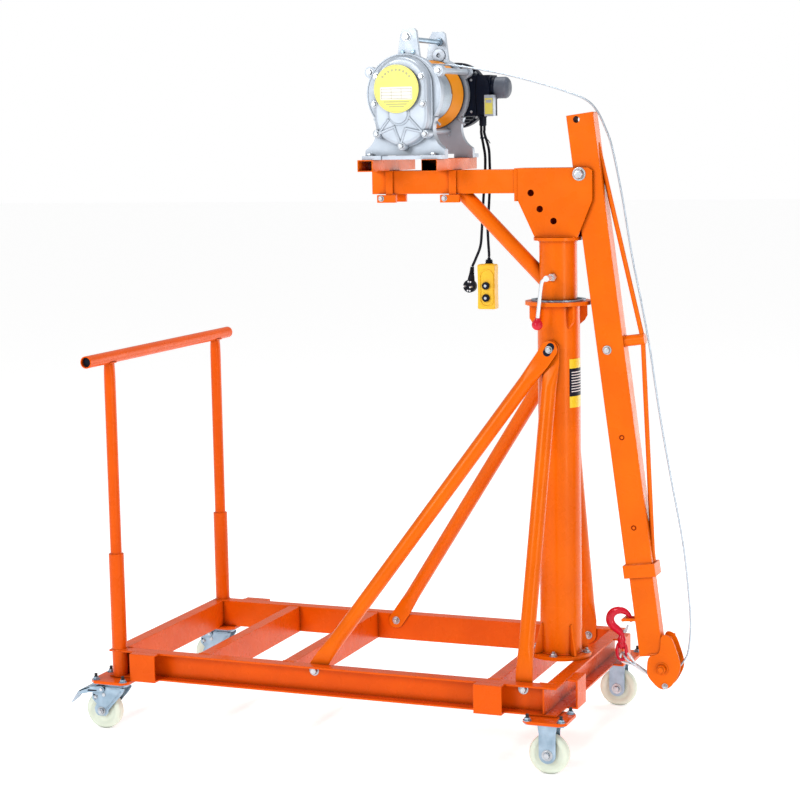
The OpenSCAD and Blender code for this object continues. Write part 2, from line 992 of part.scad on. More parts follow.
// A smooth run of steps through the hand-set points.
function spline(p, i, u) =
  let (a = p[max(i - 1, 0)], b = p[i], c = p[i + 1], d = p[min(i + 2, len(p) - 1)])
  0.5 * (2 * b + (c - a) * u + (2 * a - 5 * b + 4 * c - d) * u * u + (3 * b - a - 3 * c + d) * u * u * u);

function smooth(p, s) =
  concat([for (i = [0 : len(p) - 2]) for (j = [0 : s - 1]) spline(p, i, j / s)], [p[len(p) - 1]]);

ROPE = [[172, 0, 1739], [240, 0, 1737], [311, 0, 1727], [400, 0, 1709], [492, 0, 1684], [560, 0, 1662],
        [612, 0, 1640], [640, 0, 1612], [660, 0, 1572], [678, 0, 1522], [703, 0, 1403], [728, 0, 1254],
        [751, 0, 1141], [773, 0, 1024], [799, 0, 853], [828, 0, 690], [858, 0, 530], [872, 0, 410],
        [878, 0, 320], [872, 0, 250], [858, 0, 220]];
ROPE_END = [[846, 0, 205], [835, 0, 180], [809, 0, 169], [790, 0, 174], [772, 0, 180], [745, 0, 196],
            [722, -4, 212], [708, -11, 224], [699, -6, 230], [698, 3, 230]];
POWER = [[294, 114, 1581], [294, 114, 1571], [294, 114, 1561], [301, 110, 1530], [307, 105, 1500],
         [308, 98, 1450], [303, 98, 1390], [298, 98, 1316], [293, 99, 1270], [280, 100, 1238],
         [269.3, 100, 1216]];
PENDANT = [[302, 116, 1581], [302, 116, 1571], [302, 116, 1561], [314, 113, 1524], [318, 108, 1490],
           [319, 106, 1440], [316, 105, 1380], [312, 104, 1320], [314, 101, 1280], [316, 100, 1252],
           [316, 100, 1242]];

module wire_rope() {
  color(zinc)
    tube(smooth(concat(ROPE, ROPE_END), 2), 2.5, 8);
}

module power_lead() {
  color(black)
    tube(smooth(POWER, 2), 3.5, 8);
}

// Round plug with a strain relief above and two pins on its near face.
module power_plug() {
  color(black) {
    translate([265, 100, 1176])
      rotate([0, 6, 0]) {
        cylinder(r = 7, h = 40);
        ycyl(0, -12, 17, -12, 12);
        for (e = [-9, 9])
          ycyl(e, -12, 2.4, -31, -12);
      }
  }
}

module pendant_cable() {
  color(black)
    tube(smooth(PENDANT, 2), 3.5, 8);
}

// every node once

near_rail();
far_rail();
rear_end_rail();
front_end_rail();
cross_members();
stabiliser_pockets();
caster_plates();
handle_sockets();
column_tube();
column_flanges();
thrust_washer();
near_long_brace();
near_short_brace();
far_long_brace();
far_short_brace();
base_bolts();
caster_mounts();
handle_posts();
handle_bar();
near_rear_fork();
near_rear_wheel();
near_rear_pedal();
far_rear_fork();
far_rear_wheel();
far_rear_pedal();
near_front_wheel();
far_front_wheel();
upper_column();
head_plates();
arm();
platform_tubes();
platform_clamps();
slew_bolts();
winch_frame();
gear_cover();
winch_badge();
winch_bolts();
motor();
control_box();
pendant_housing();
up_button();
down_button();
lock_lever();
lever_knob();
drum_core();
drum_flanges();
boom_tube();
truss_rod();
boom_bolts();
inner_boom();
sheave_cheeks();
sheave_bolts();
sheave();
hook();
hook_latch();
hook_eye();
wire_rope();
power_lead();
power_plug();
pendant_cable();
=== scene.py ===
import json
import math

import bmesh
import bpy
from mathutils import Matrix, Vector


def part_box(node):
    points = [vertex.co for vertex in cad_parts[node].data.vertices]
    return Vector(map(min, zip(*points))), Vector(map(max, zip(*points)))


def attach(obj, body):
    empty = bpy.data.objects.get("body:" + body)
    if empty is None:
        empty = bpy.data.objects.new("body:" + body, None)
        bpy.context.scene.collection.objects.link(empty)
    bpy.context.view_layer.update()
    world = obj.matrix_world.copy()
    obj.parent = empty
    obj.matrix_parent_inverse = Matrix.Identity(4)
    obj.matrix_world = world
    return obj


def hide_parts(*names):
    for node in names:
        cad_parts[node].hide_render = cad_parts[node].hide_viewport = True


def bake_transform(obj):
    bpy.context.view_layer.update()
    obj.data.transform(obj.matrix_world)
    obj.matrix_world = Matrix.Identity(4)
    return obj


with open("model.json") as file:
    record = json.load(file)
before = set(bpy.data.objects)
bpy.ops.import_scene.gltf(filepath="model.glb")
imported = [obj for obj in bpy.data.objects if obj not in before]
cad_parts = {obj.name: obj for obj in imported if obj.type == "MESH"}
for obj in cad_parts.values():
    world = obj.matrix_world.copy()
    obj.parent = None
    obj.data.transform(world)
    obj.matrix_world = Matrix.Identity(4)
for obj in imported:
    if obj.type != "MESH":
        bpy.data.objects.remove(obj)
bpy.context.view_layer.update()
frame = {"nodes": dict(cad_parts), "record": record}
scene = bpy.context.scene
MM = 0.001
X, Y, Z = Vector((1, 0, 0)), Vector((0, 1, 0)), Vector((0, 0, 1))
SIDES = (-1, 1)


def show(name, data):
    """A new object in the scene."""
    obj = bpy.data.objects.new(name, data)
    scene.collection.objects.link(obj)
    return obj


# camera: its axes are worked out from its heading, pitch and roll, in degrees

CAMERA_PLACE = (2.0539, -4.9005, 1.561)
CAMERA_HEADING = 21.764
CAMERA_PITCH = 7.476
CAMERA_ROLL = -1.046
CAMERA_LENS = 90.8


def camera():
    heading, pitch, roll = (math.radians(a) for a in (CAMERA_HEADING, CAMERA_PITCH, CAMERA_ROLL))
    level = math.cos(pitch)
    back = Vector((math.sin(heading) * level, -math.cos(heading) * level, math.sin(pitch)))
    right = Z.cross(back).normalized()
    up = back.cross(right)
    x_axis = math.cos(roll) * right + math.sin(roll) * up
    y_axis = math.cos(roll) * up - math.sin(roll) * right
    data = bpy.data.cameras.new("camera")
    data.sensor_width = 36
    data.lens = CAMERA_LENS
    data.clip_end = 100
    obj = show("camera", data)
    turn = Matrix((x_axis, y_axis, back)).transposed().to_4x4()
    obj.matrix_world = Matrix.Translation(CAMERA_PLACE) @ turn
    scene.camera = obj


camera()


# materials

MIX_FACTOR, MIX_FIRST, MIX_SECOND = 0, 6, 7  # the colour mix's inputs, which share their names with others
MIX_COLOUR = 2  # and its output


def put(node, values):
    """Fixed values for a node's sockets."""
    for socket, value in values.items():
        node.inputs[socket].default_value = value


def shader(name, rough, metal=0.0, coat=0.0, specular=0.5):
    m = bpy.data.materials.new(name)
    m.use_nodes = True
    b = m.node_tree.nodes["Principled BSDF"]
    put(b, {"Roughness": rough, "Metallic": metal, "Coat Weight": coat, "Coat Roughness": 0.15,
            "Specular IOR Level": specular})
    return m, m.node_tree, b


def spread(tree, value, low, high, start=0.0, end=1.0):
    """The value stretched so that low becomes start and high becomes end."""
    node = tree.nodes.new("ShaderNodeMapRange")
    put(node, {"From Min": low, "From Max": high, "To Min": start, "To Max": end})
    tree.links.new(value, node.inputs["Value"])
    return node.outputs["Result"]


def mottle(tree, scale, detail, low, high):
    """Noise over the object's own space, spread from low to high."""
    place = tree.nodes.new("ShaderNodeTexCoord")
    noise = tree.nodes.new("ShaderNodeTexNoise")
    put(noise, {"Scale": scale, "Detail": detail})
    tree.links.new(place.outputs["Object"], noise.inputs["Vector"])
    return spread(tree, noise.outputs["Fac"], 0.3, 0.7, low, high)


def mixer(tree, factor, first):
    """A colour mix that starts at first; its second colour is still to be set or linked."""
    mix = tree.nodes.new("ShaderNodeMix")
    mix.data_type = "RGBA"
    put(mix, {MIX_FIRST: (*first, 1)})
    tree.links.new(factor, mix.inputs[MIX_FACTOR])
    return mix


def tint(tree, factor, first, second):
    mix = mixer(tree, factor, first)
    put(mix, {MIX_SECOND: (*second, 1)})
    return mix.outputs[MIX_COLOUR]


def relief(tree, b, height, strength, distance):
    bump = tree.nodes.new("ShaderNodeBump")
    put(bump, {"Strength": strength, "Distance": distance})
    tree.links.new(height, bump.inputs["Height"])
    tree.links.new(bump.outputs["Normal"], b.inputs["Normal"])


def painted_corner_shade(tree, colour, shade, reach):
    """The colour with painted shade: darkened towards shade in inner corners and seams."""
    corner_shade_ao = tree.nodes.new("ShaderNodeAmbientOcclusion")
    corner_shade_ao.samples = 6
    put(corner_shade_ao, {"Distance": reach})
    mix = mixer(tree, spread(tree, corner_shade_ao.outputs["AO"], 0.25, 0.85), shade)
    tree.links.new(colour, mix.inputs[MIX_SECOND])
    return mix.outputs[MIX_COLOUR]


def finish(name, first, second, rough, metal=0.0, coat=0.0, specular=0.5, patch=30, grain=300, bump=0.06,
           sheen=(1, 1, 1), reach=0.012, depth=0.3):
    """A surface with slow colour patches, uneven gloss, a fine grain and painted shade in inner corners.

    patch and grain are noise scales and sheen tints the reflections. The painted shade in an inner corner
    spreads over reach, in metres, and leaves depth of the colour.
    """
    m, tree, b = shader(name, rough, metal, coat, specular)
    put(b, {"Specular Tint": (*sheen, 1)})
    colour = tint(tree, mottle(tree, patch, 4, 0, 1), first, second)
    tree.links.new(painted_corner_shade(tree, colour, tuple(depth * v for v in second), reach), b.inputs["Base Color"])
    tree.links.new(mottle(tree, patch * 2.6, 3, rough - 0.05, rough + 0.07), b.inputs["Roughness"])
    relief(tree, b, mottle(tree, grain, 2, 0, 1), bump, 0.0004)
    return m


WARM = (1, 0.54, 0.30)
ORANGE = finish("orange_paint", (0.78, 0.098, 0.001), (0.69, 0.079, 0.001), 0.27, specular=0.34, patch=9,
                grain=320, sheen=WARM, reach=0.022)
# the same orange paint made lighter: painted light on the column, braces, slewing head and boom
PAINTED_LIGHT_ORANGE = finish("orange_with_painted_light", (0.83, 0.142, 0.001), (0.74, 0.116, 0.001), 0.27, specular=0.36,
                     patch=9, grain=320, sheen=WARM, reach=0.018)
# a dark orange that stands for shade: painted shade in hole walls, between the head plates and in plug-weld
# grooves
PAINTED_SHADE = finish("painted_shade", (0.18, 0.008, 0.001), (0.13, 0.006, 0.001), 0.6, specular=0.05, patch=9,
                grain=320)
DRUM = finish("drum_paint", (0.84, 0.30, 0.004), (0.78, 0.26, 0.003), 0.36, grain=320)
RED = finish("red_enamel", (0.66, 0.006, 0.030), (0.52, 0.004, 0.020), 0.26, coat=0.35, specular=0.35,
             patch=40, sheen=(1, 0.5, 0.55))
ZINC = finish("zinc_plate", (0.42, 0.55, 0.67), (0.26, 0.37, 0.47), 0.36, 0.72, patch=34, grain=260)
BRIGHT = finish("pressed_ferrule", (0.86, 0.89, 0.92), (0.72, 0.76, 0.80), 0.3, 0.6, patch=60, grain=400)
STEEL = finish("bright_bolt", (0.66, 0.69, 0.73), (0.45, 0.49, 0.53), 0.30, 0.75, patch=60, grain=400)
DARK_STEEL = finish("dark_stud", (0.10, 0.11, 0.12), (0.035, 0.036, 0.04), 0.4, 0.5, patch=90, grain=400)
ALU = finish("cast_aluminium", (0.53, 0.59, 0.665), (0.42, 0.48, 0.555), 0.38, 0.3, patch=20, grain=520,
             bump=0.22, reach=0.024)
BLACK = finish("black_enamel", (0.001, 0.004, 0.014), (0.003, 0.007, 0.021), 0.42, specular=0.16, grain=420,
               bump=0.1)
SLATE = finish("slate_plastic", (0.095, 0.11, 0.145), (0.075, 0.09, 0.12), 0.48, grain=500, bump=0.1)
RUBBER = finish("cable_rubber", (0.002, 0.003, 0.009), (0.005, 0.006, 0.014), 0.5, specular=0.16, patch=60,
                grain=700, bump=0.1)
NYLON = finish("ivory_nylon", (0.73, 0.79, 0.67), (0.66, 0.72, 0.59), 0.4, patch=26, bump=0.08)
YELLOW = finish("yellow_abs", (0.93, 0.58, 0.006), (0.88, 0.52, 0.005), 0.38, patch=22, grain=620, bump=0.08,
                reach=0.004, depth=0.72)
BADGE = finish("badge_enamel", (0.86, 0.81, 0.17), (0.82, 0.77, 0.14), 0.34, coat=0.3, bump=0.03)
PALE = finish("badge_panel", (0.83, 0.80, 0.79), (0.80, 0.77, 0.76), 0.4, bump=0.02)
RULE = finish("badge_rule", (0.50, 0.49, 0.22), (0.46, 0.45, 0.2), 0.4, bump=0.02)
LABEL = finish("label_film", (0.86, 0.62, 0.02), (0.82, 0.58, 0.015), 0.3, patch=40, bump=0.02)


def rope_wire():
    """Bright wire with duller streaks."""
    m, tree, b = shader("rope_wire", 0.36, 0.8)
    colour = tint(tree, mottle(tree, 900, 2, 0, 1), (0.62, 0.70, 0.78), (0.38, 0.44, 0.50))
    tree.links.new(colour, b.inputs["Base Color"])
    return m


WIRE = rope_wire()
LOOK = {
    "orange_paint": ORANGE, "zinc": ZINC, "cast_aluminium": ALU, "black": BLACK, "nylon": NYLON,
    "yellow": YELLOW, "badge": BADGE, "red": RED, "knob": RED, "drum_paint": DRUM, "wire": WIRE,
    "rubber_black": RUBBER}
slot_of = {part["node"]: part["material_slot"] for part in frame["record"]["subparts"]}
body_of = {node: name for name, nodes in frame["record"]["behaviour"]["bodies"].items() for node in nodes}
for node, slot_name in slot_of.items():
    materials = frame["nodes"][node].data.materials
    materials.clear()
    materials.append(LOOK[slot_name])


# mesh building, in millimetres


def corner_rows(bm, rings):
    return [[bm.verts.new(Vector(p) * MM) for p in ring] for ring in rings]


def bridge(bm, rows, mat):
    """Faces between each row of corners and the next."""
    n = len(rows[0])
    for a, b in zip(rows, rows[1:]):
        for j in range(n):
            bm.faces.new((a[j], a[(j + 1) % n], b[(j + 1) % n], b[j])).material_index = mat


def loft(bm, rings, closed=True, mat=0):
    """A skin over rings with the same number of points; closed caps both ends."""
    rows = corner_rows(bm, rings)
    bridge(bm, rows, mat)
    if closed:
        bm.faces.new(list(reversed(rows[0]))).material_index = mat
        bm.faces.new(rows[-1]).material_index = mat


def frame_on(axis):
    """The axis and two directions square to it."""
    axis = Vector(axis).normalized()
    side = axis.cross(Z)
    if side.length < 0.1:
        side = axis.cross(Y)
    side.normalize()
    return axis, side, axis.cross(side)


def circle(centre, u, v, radius, n):
    """Points round a centre; radius is a number or a function of the angle."""
    size = radius if callable(radius) else lambda a: radius
    turns = [2 * math.pi * j / n for j in range(n)]
    return [centre + size(a) * (math.cos(a) * u + math.sin(a) * v) for a in turns]


def turned(profile, centre, axis, n):
    """A circle of n points for each (distance along the axis, radius), which is never quite 0."""
    axis, u, v = frame_on(axis)
    return [circle(Vector(centre) + along * axis, u, v, max(r, 0.05), n) for along, r in profile]


def lathe(bm, profile, centre, axis, n=32, mat=0):
    """A solid turned from a profile that runs from end to end."""
    loft(bm, turned(profile, centre, axis, n), True, mat)


def ring(bm, profile, centre, axis, n=48, mat=0):
    """A hollow ring turned from a closed profile."""
    rows = corner_rows(bm, turned(profile, centre, axis, n))
    bridge(bm, rows + rows[:1], mat)


def band(bm, start, end, inner, outer, centre, axis, n):
    """A plain hollow ring."""
    ring(bm, [(start, inner), (start, outer), (end, outer), (end, inner)], centre, axis, n)


def cylinder(bm, a, b, r, n=24, edge=0.6, mat=0):
    a, b = Vector(a), Vector(b)
    length = (b - a).length
    lathe(bm, [(0, r - edge), (edge, r), (length - edge, r), (length, r - edge)], a, b - a, n, mat)


def tube(bm, points, radius, n=12, closed=True):
    """A tube along points; radius is a number or a function of (place along, angle)."""
    points = [Vector(p) for p in points]
    size = radius if callable(radius) else lambda s, a: radius
    u = None
    rings, s = [], 0.0
    for i, p in enumerate(points):
        t = (points[min(i + 1, len(points) - 1)] - points[max(i - 1, 0)]).normalized()
        if u is None:
            u = frame_on(t)[1]
        u = (u - u.dot(t) * t).normalized()
        v = t.cross(u)
        if i:
            s += (p - points[i - 1]).length
        rings.append(circle(p, u, v, lambda a, s=s: size(s, a), n))
    loft(bm, rings, closed)


def box(bm, low, high, mat=0):
    (x0, y0, z0), (x1, y1, z1) = low, high
    loft(bm, [[(x0, y0, z), (x1, y0, z), (x1, y1, z), (x0, y1, z)] for z in (z0, z1)], True, mat)


def plate(bm, outline, y0, y1, mat=0):
    """An outline of (x, z) points made thick along Y."""
    area = sum(a[0] * b[1] - b[0] * a[1] for a, b in zip(outline, outline[1:] + outline[:1]))
    points = outline if area < 0 else outline[::-1]
    loft(bm, [[(x, y, z) for x, z in points] for y in (y0, y1)], True, mat)


def spoke(degrees):
    """A unit step in the XZ plane, turned from +X towards +Z."""
    return Vector((math.cos(math.radians(degrees)), 0, math.sin(math.radians(degrees))))


def arc(x, z, r, a0, a1, n):
    """Outline points from a0 to a1 degrees."""
    turns = [math.radians(a0 + (a1 - a0) * i / n) for i in range(n + 1)]
    return [(x + r * math.cos(a), z + r * math.sin(a)) for a in turns]


def stadium(x, z, r, half):
    """An upright slot's outline: its round ends are centred half above and half below."""
    return arc(x, z + half, r, 0, 180, 16) + arc(x, z - half, r, 180, 360, 16)


def smooth_line(points, steps):
    """The same smooth run through the points as the CAD cords have."""
    points = [Vector(p) for p in points]
    out = []
    for i in range(len(points) - 1):
        a, b = points[max(i - 1, 0)], points[i]
        c, d = points[i + 1], points[min(i + 2, len(points) - 1)]
        for k in range(steps):
            u = k / steps
            out.append(0.5 * (2 * b + (c - a) * u + (2 * a - 5 * b + 4 * c - d) * u * u
                              + (3 * b - a - 3 * c + d) * u ** 3))
    return out + [points[-1]]


def run_length(points):
    return sum((Vector(b) - Vector(a)).length for a, b in zip(points, points[1:]))


def hexagon(bm, place, axis, r, height, mat=0):
    """A hexagon head with its top corners turned off."""
    lathe(bm, [(0, r), (height * 0.8, r), (height, r * 0.86)], place, axis, 6, mat)


def bolt(bm, place, axis, r, stud=0, mat=0, stud_mat=None):
    """Washer, hexagon and, where there is a nut, the end of its stud."""
    washer = 1.5
    lathe(bm, [(0, r * 1.35), (washer - 0.4, r * 1.35), (washer, r * 1.28)], place, axis, 28, mat)
    hexagon(bm, Vector(place) + washer * axis, axis, r, r * 0.75, mat)
    top = washer + r * 0.75
    if stud:
        thread = [(top, r * 0.5)]
        for i in range(stud):
            thread += [(top + i + 0.3, r * 0.54), (top + i + 0.8, r * 0.48)]
        lathe(bm, thread + [(top + stud, r * 0.4)], place, axis, 16, mat if stud_mat is None else stud_mat)
    else:
        lathe(bm, [(top, r * 0.62), (top + 0.35, r * 0.5)], place, axis, 16, mat)


def bead(bm, points, r):
    """A weld bead: short overlapping ripples along a line."""
    line = [Vector(p) for p in points]
    dense = [line[0]]
    for a, b in zip(line, line[1:]):
        steps = max(2, int((b - a).length / 1.6))
        dense += [a.lerp(b, (k + 1) / steps) for k in range(steps)]
    tube(bm, dense, lambda s, a: r * (0.86 + 0.14 * abs(math.sin(s * 0.75))), 8)


def piece(name, bm, mats, body, stands_for=(), bevel=0.0, turn=42):
    """An object from a finished mesh that rides on its body; edges over turn degrees stay crisp."""
    bmesh.ops.recalc_face_normals(bm, faces=bm.faces)
    mesh = bpy.data.meshes.new(name)
    bm.to_mesh(mesh)
    bm.free()
    for m in mats:
        mesh.materials.append(m)
    obj = show(name, mesh)
    for poly in mesh.polygons:
        poly.use_smooth = True
    if bevel:
        cut = obj.modifiers.new("edges", "BEVEL")
        cut.width = bevel * MM
        cut.segments = 2
        cut.limit_method = "ANGLE"
        cut.angle_limit = math.radians(turn)
        cut.use_clamp_overlap = True
    else:
        mesh.set_sharp_from_angle(angle=math.radians(turn))
    even = obj.modifiers.new("normals", "WEIGHTED_NORMAL")
    even.keep_sharp = True
    if body:
        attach(obj, body)
    if stands_for:
        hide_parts(*stands_for)
    return obj


def dress(node, width, mats):
    """The same shape as a CAD node, with its outer edges rounded by width."""
    bm = bmesh.new()
    bm.from_mesh(frame["nodes"][node].data)
    bmesh.ops.remove_doubles(bm, verts=bm.verts, dist=2e-6)
    bmesh.ops.dissolve_limit(bm, angle_limit=math.radians(0.6), verts=bm.verts, edges=bm.edges)
    sharp = [e for e in bm.edges if len(e.link_faces) == 2 and e.is_convex
             and e.calc_face_angle(0) > math.radians(32) and e.calc_length() > 2.6 * width * MM]
    if sharp:
        bmesh.ops.bevel(bm, geom=sharp, offset=width * MM, segments=2, profile=0.6, affect="EDGES",
                        clamp_overlap=True)
    return piece(node + "_skin", bm, mats, body_of[node], [node], turn=34)


# frame, column, arm and boom: the CAD shapes with rounded edges

EDGES = {
    "near_rail": 1.2, "far_rail": 1.2, "rear_end_rail": 1.2, "front_end_rail": 1.2, "cross_members": 1.2,
    "stabiliser_pockets": 1.6, "caster_plates": 1.2, "handle_sockets": 0.8, "winch_frame": 2.0,
    "control_box": 2.5, "thrust_washer": 0.5}
# these nodes take the orange with painted light
EDGES_IN_PAINTED_LIGHT = {
    "column_tube": 1.0, "column_flanges": 1.0, "near_long_brace": 0.8, "near_short_brace": 0.8,
    "far_long_brace": 0.8, "far_short_brace": 0.8, "upper_column": 1.0, "arm": 2.2, "platform_tubes": 1.8,
    "platform_clamps": 1.4, "truss_rod": 0.6, "inner_boom": 2.0}
for node, width in EDGES.items():
    dress(node, width, [LOOK[slot_of[node]]])
for node, width in EDGES_IN_PAINTED_LIGHT.items():
    dress(node, width, [PAINTED_LIGHT_ORANGE])


# places read from the frame, in millimetres


def least(node):
    return Vector(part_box(node)[0]) / MM


def most(node):
    return Vector(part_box(node)[1]) / MM


def mid(node):
    return (least(node) + most(node)) / 2


def detail(node, bm, mats, bevel=0.0):
    """A finished piece that stands for one CAD node."""
    return piece(node + "_detail", bm, mats, body_of[node], [node], bevel)


RAIL_TOP = most("near_rail").z
RAIL_LOW = least("near_rail").z
HALF_WIDTH = most("far_rail").y
WEB = HALF_WIDTH - 31.5  # the face of a rail's web that looks outwards
RAIL_BACK = HALF_WIDTH - 36
AXLE_Z = mid("near_rear_wheel").z
CASTER_X, CASTER_Y = mid("far_front_wheel").x, mid("far_front_wheel").y
BAR = mid("handle_bar")
POST_Y = 306
COLUMN_X = mid("column_tube").x
COLUMN_R = 54
BRACE_TOP = Vector((534, 0, 1020))
WINCH = mid("drum_flanges")
WINCH.y = 0
PIVOT = Vector((602, 0, 1457))
LOCK_RADIUS = 135
LOCK_HOLES = (20, 40, 60)  # degrees below the level, behind the pivot
HOLE_REACH = 9.2  # a hole's radius and a little more
SHEAVE = mid("sheave")
LEAN = math.radians(7.5)


def in_boom(x, y, z):
    """A point of the boom's own frame, with its pivot at 0 and its length along Z."""
    across = x * math.cos(LEAN) - z * math.sin(LEAN)
    return PIVOT + Vector((across, y, x * math.sin(LEAN) + z * math.cos(LEAN)))


def paint_hole_shade(node, width, holes, inner):
    """A dressed node whose hole walls, and faces square to Y within inner of the middle, are painted dark as
    painted shade.
    """
    skin = dress(node, width, [PAINTED_LIGHT_ORANGE, PAINTED_SHADE]).data
    for poly in skin.polygons:
        at = poly.center / MM
        across = abs(poly.normal.y)
        in_hole_shade = any(math.hypot(at.x - hole.x, at.z - hole.z) < HOLE_REACH for hole in holes)
        if in_hole_shade and across < 0.5 or abs(at.y) < inner and across > 0.9:
            poly.material_index = 1


paint_hole_shade("head_plates", 1.2, [PIVOT - LOCK_RADIUS * spoke(a) for a in LOCK_HOLES], 25.5)
paint_hole_shade("boom_tube", 2.2, [in_boom(8, 0, LOCK_RADIUS)], 0)


# fasteners of the root and the slewing head


def leaning_slot(x, z, r, half, lean):
    """The outline of a slot whose length leans from +X by lean degrees."""
    end = half * spoke(lean)
    points = []
    for k in range(32):
        p = r * spoke(360 * k / 32)
        p += end if p.dot(end) > 0 else -end
        points.append((x + p.x, z + p.z))
    return points


def base_bolts():
    bm = bmesh.new()
    for s in SIDES:
        cylinder(bm, BRACE_TOP + s * 50 * Y, BRACE_TOP + s * 60 * Y, 14)
        cylinder(bm, BRACE_TOP + s * 66 * Y, BRACE_TOP + s * 75 * Y, 12)
        bolt(bm, BRACE_TOP + s * 80.4 * Y, s * Y, 7)
        # a thin dark slot round the bolt: painted shade of the slot it sits in
        slot_shade = leaning_slot(BRACE_TOP.x, BRACE_TOP.z, 10.2, 8.51, 56)
        plate(bm, slot_shade, s * 81 - 0.25, s * 81 + 0.25, 1)
        for x in (-38, 527):
            bolt(bm, (x, s * WEB, 199), s * Y, 9.5)
            bolt(bm, (x, s * (WEB - 10.5), 199), -s * Y, 8, 5)
    for x, y in ((68, 0), (0, 68), (-68, 0), (0, -68)):
        bolt(bm, (COLUMN_X + x, y, RAIL_TOP + 10), Z, 8, 5)
    detail("base_bolts", bm, [STEEL, BLACK])
    bm = bmesh.new()
    for x in (-CASTER_X, CASTER_X):
        for y in (-CASTER_Y, CASTER_Y):
            for e in SIDES:
                out = 42 if x > 0 else -42
                bolt(bm, (x + out, y + e * 40, RAIL_LOW), Z, 8, 9, 0, 1)
                if e * y > 0:
                    bolt(bm, (x - out, y + e * 46, RAIL_LOW), Z, 8, 9, 0, 1)
    piece("caster_plate_nuts", bm, [ZINC, DARK_STEEL], "base", ["base_bolts"])


def slew_bolts():
    bm = bmesh.new()
    pin = 33 * Y
    cylinder(bm, PIVOT - pin, PIVOT + pin, 9.9)
    bolt(bm, PIVOT - pin, -Y, 12.5)
    bolt(bm, PIVOT + pin, Y, 12.5, 3)
    for s in SIDES:
        for x in (72, 246):
            bolt(bm, (x, s * 42, 1399), s * Y, 5.8)
    for x in (79, 251):
        for y in (-130, 122):
            bolt(bm, (x, y, 1510), Z, 6.4)
    detail("slew_bolts", bm, [STEEL])


# casters


def mount_plates():
    bm = bmesh.new()
    for x in (-CASTER_X, CASTER_X):
        for y in (-CASTER_Y, CASTER_Y):
            box(bm, (x - 50, y - 45, RAIL_LOW - 12), (x + 50, y + 45, RAIL_LOW - 8.1))
    for y in (-CASTER_Y, CASTER_Y):
        x = CASTER_X
        box(bm, (x - 25, y - 17.6, RAIL_LOW - 16), (x + 25, y + 17.6, RAIL_LOW - 12))
        for e in SIDES:
            f = y + e * 19.5
            outline = [(x + 24, 131), (x + 24, 118), (x + 21.5, 104), *arc(x, AXLE_Z, 21.5, 0, -180, 14),
                       (x - 21.5, 104), (x - 24, 118), (x - 24, 131)]
            plate(bm, outline, f - 1.9, f + 1.9)
        cylinder(bm, (-x, y, 127), (-x, y, 131), 8)
    detail("caster_mounts", bm, [ZINC], 0.9)
    bm = bmesh.new()
    for y in (-CASTER_Y, CASTER_Y):
        axle = Vector((CASTER_X, y, AXLE_Z))
        cylinder(bm, axle - 17.5 * Y, axle + 17.5 * Y, 5.95)
        for e in SIDES:
            lathe(bm, [(0, 14), (1, 14), (1.6, 12.5)], axle + e * 21.4 * Y, e * Y, 32)
            bolt(bm, axle + e * 22.6 * Y, e * Y, 8.4, 3 if e > 0 else 0)
    piece("fixed_axles", bm, [STEEL], "base", ["caster_mounts"])


def swivel_fork(side):
    y, x = side * CASTER_Y, -CASTER_X
    axle = x - 40
    end = "near" if side < 0 else "far"
    bm = bmesh.new()
    lathe(bm, [(0, 27), (1.5, 32), (4.5, 34), (6, 31.5), (7.5, 31.5), (9, 34), (11.5, 33), (13.4, 29)],
          (x, y, 117), Z, 48)
    outline = [(x + 30, 117.5), (x + 30, 112), (x + 22, 100), (axle + 22, 56), (axle + 19, 46),
               (axle + 11, 38), (axle - 11, 38), (axle - 19, 46), (axle - 21, 58), (axle - 15, 70),
               (axle - 27, 82), (axle - 27, 98), (x - 52, 108), (x - 42, 117.5)]
    for e in SIDES:
        f = y + e * 19.5
        plate(bm, outline, f - 2, f + 2)
        tube(bm, [(a, f + e * 2, b) for a, b in ((x + 20, 108), (axle + 15, 58), (axle + 12, 44))], 1.6, 8)
    fork = end + "_rear_fork"
    detail(fork, bm, [ZINC], 0.8)
    bm = bmesh.new()
    cylinder(bm, (axle, y - 17.5, AXLE_Z), (axle, y + 17.5, AXLE_Z), 5.95)
    cylinder(bm, (x - 36, y - 30, 112), (x - 36, y + 30, 112), 4.4)
    for e in SIDES:
        bolt(bm, (axle, y + e * 21.5, AXLE_Z), e * Y, 8.6, 3 if side * e > 0 else 0)
        bolt(bm, (axle - 16, y + e * 21.5, 89), e * Y, 4)
        lathe(bm, [(0, 5.4), (1.5, 5), (2, 3.6)], (axle + 8, y + e * 21.5, 96), e * Y, 20)
        face = y + e * 21.6
        # thin dark plates shaped as notches: painted shade on the fork's sides
        for notch_shade in (((1, 117.2), (14, 117.2), (11, 110), (6, 107)),
                      ((-25, 96), (-19, 96), (-15, 84), (-19, 80))):
            plate(bm, [(axle + u, v) for u, v in notch_shade], face - 0.3, face + 0.3, 1)
    box(bm, (x - 66, y - 15, 104), (x - 41, y + 15, 113), 1)
    box(bm, (x - 30, y - 14, 105), (x - 4, y + 14, 114), 1)
    piece(end + "_rear_axle", bm, [STEEL, BLACK], body_of[fork], [fork], 0.5)


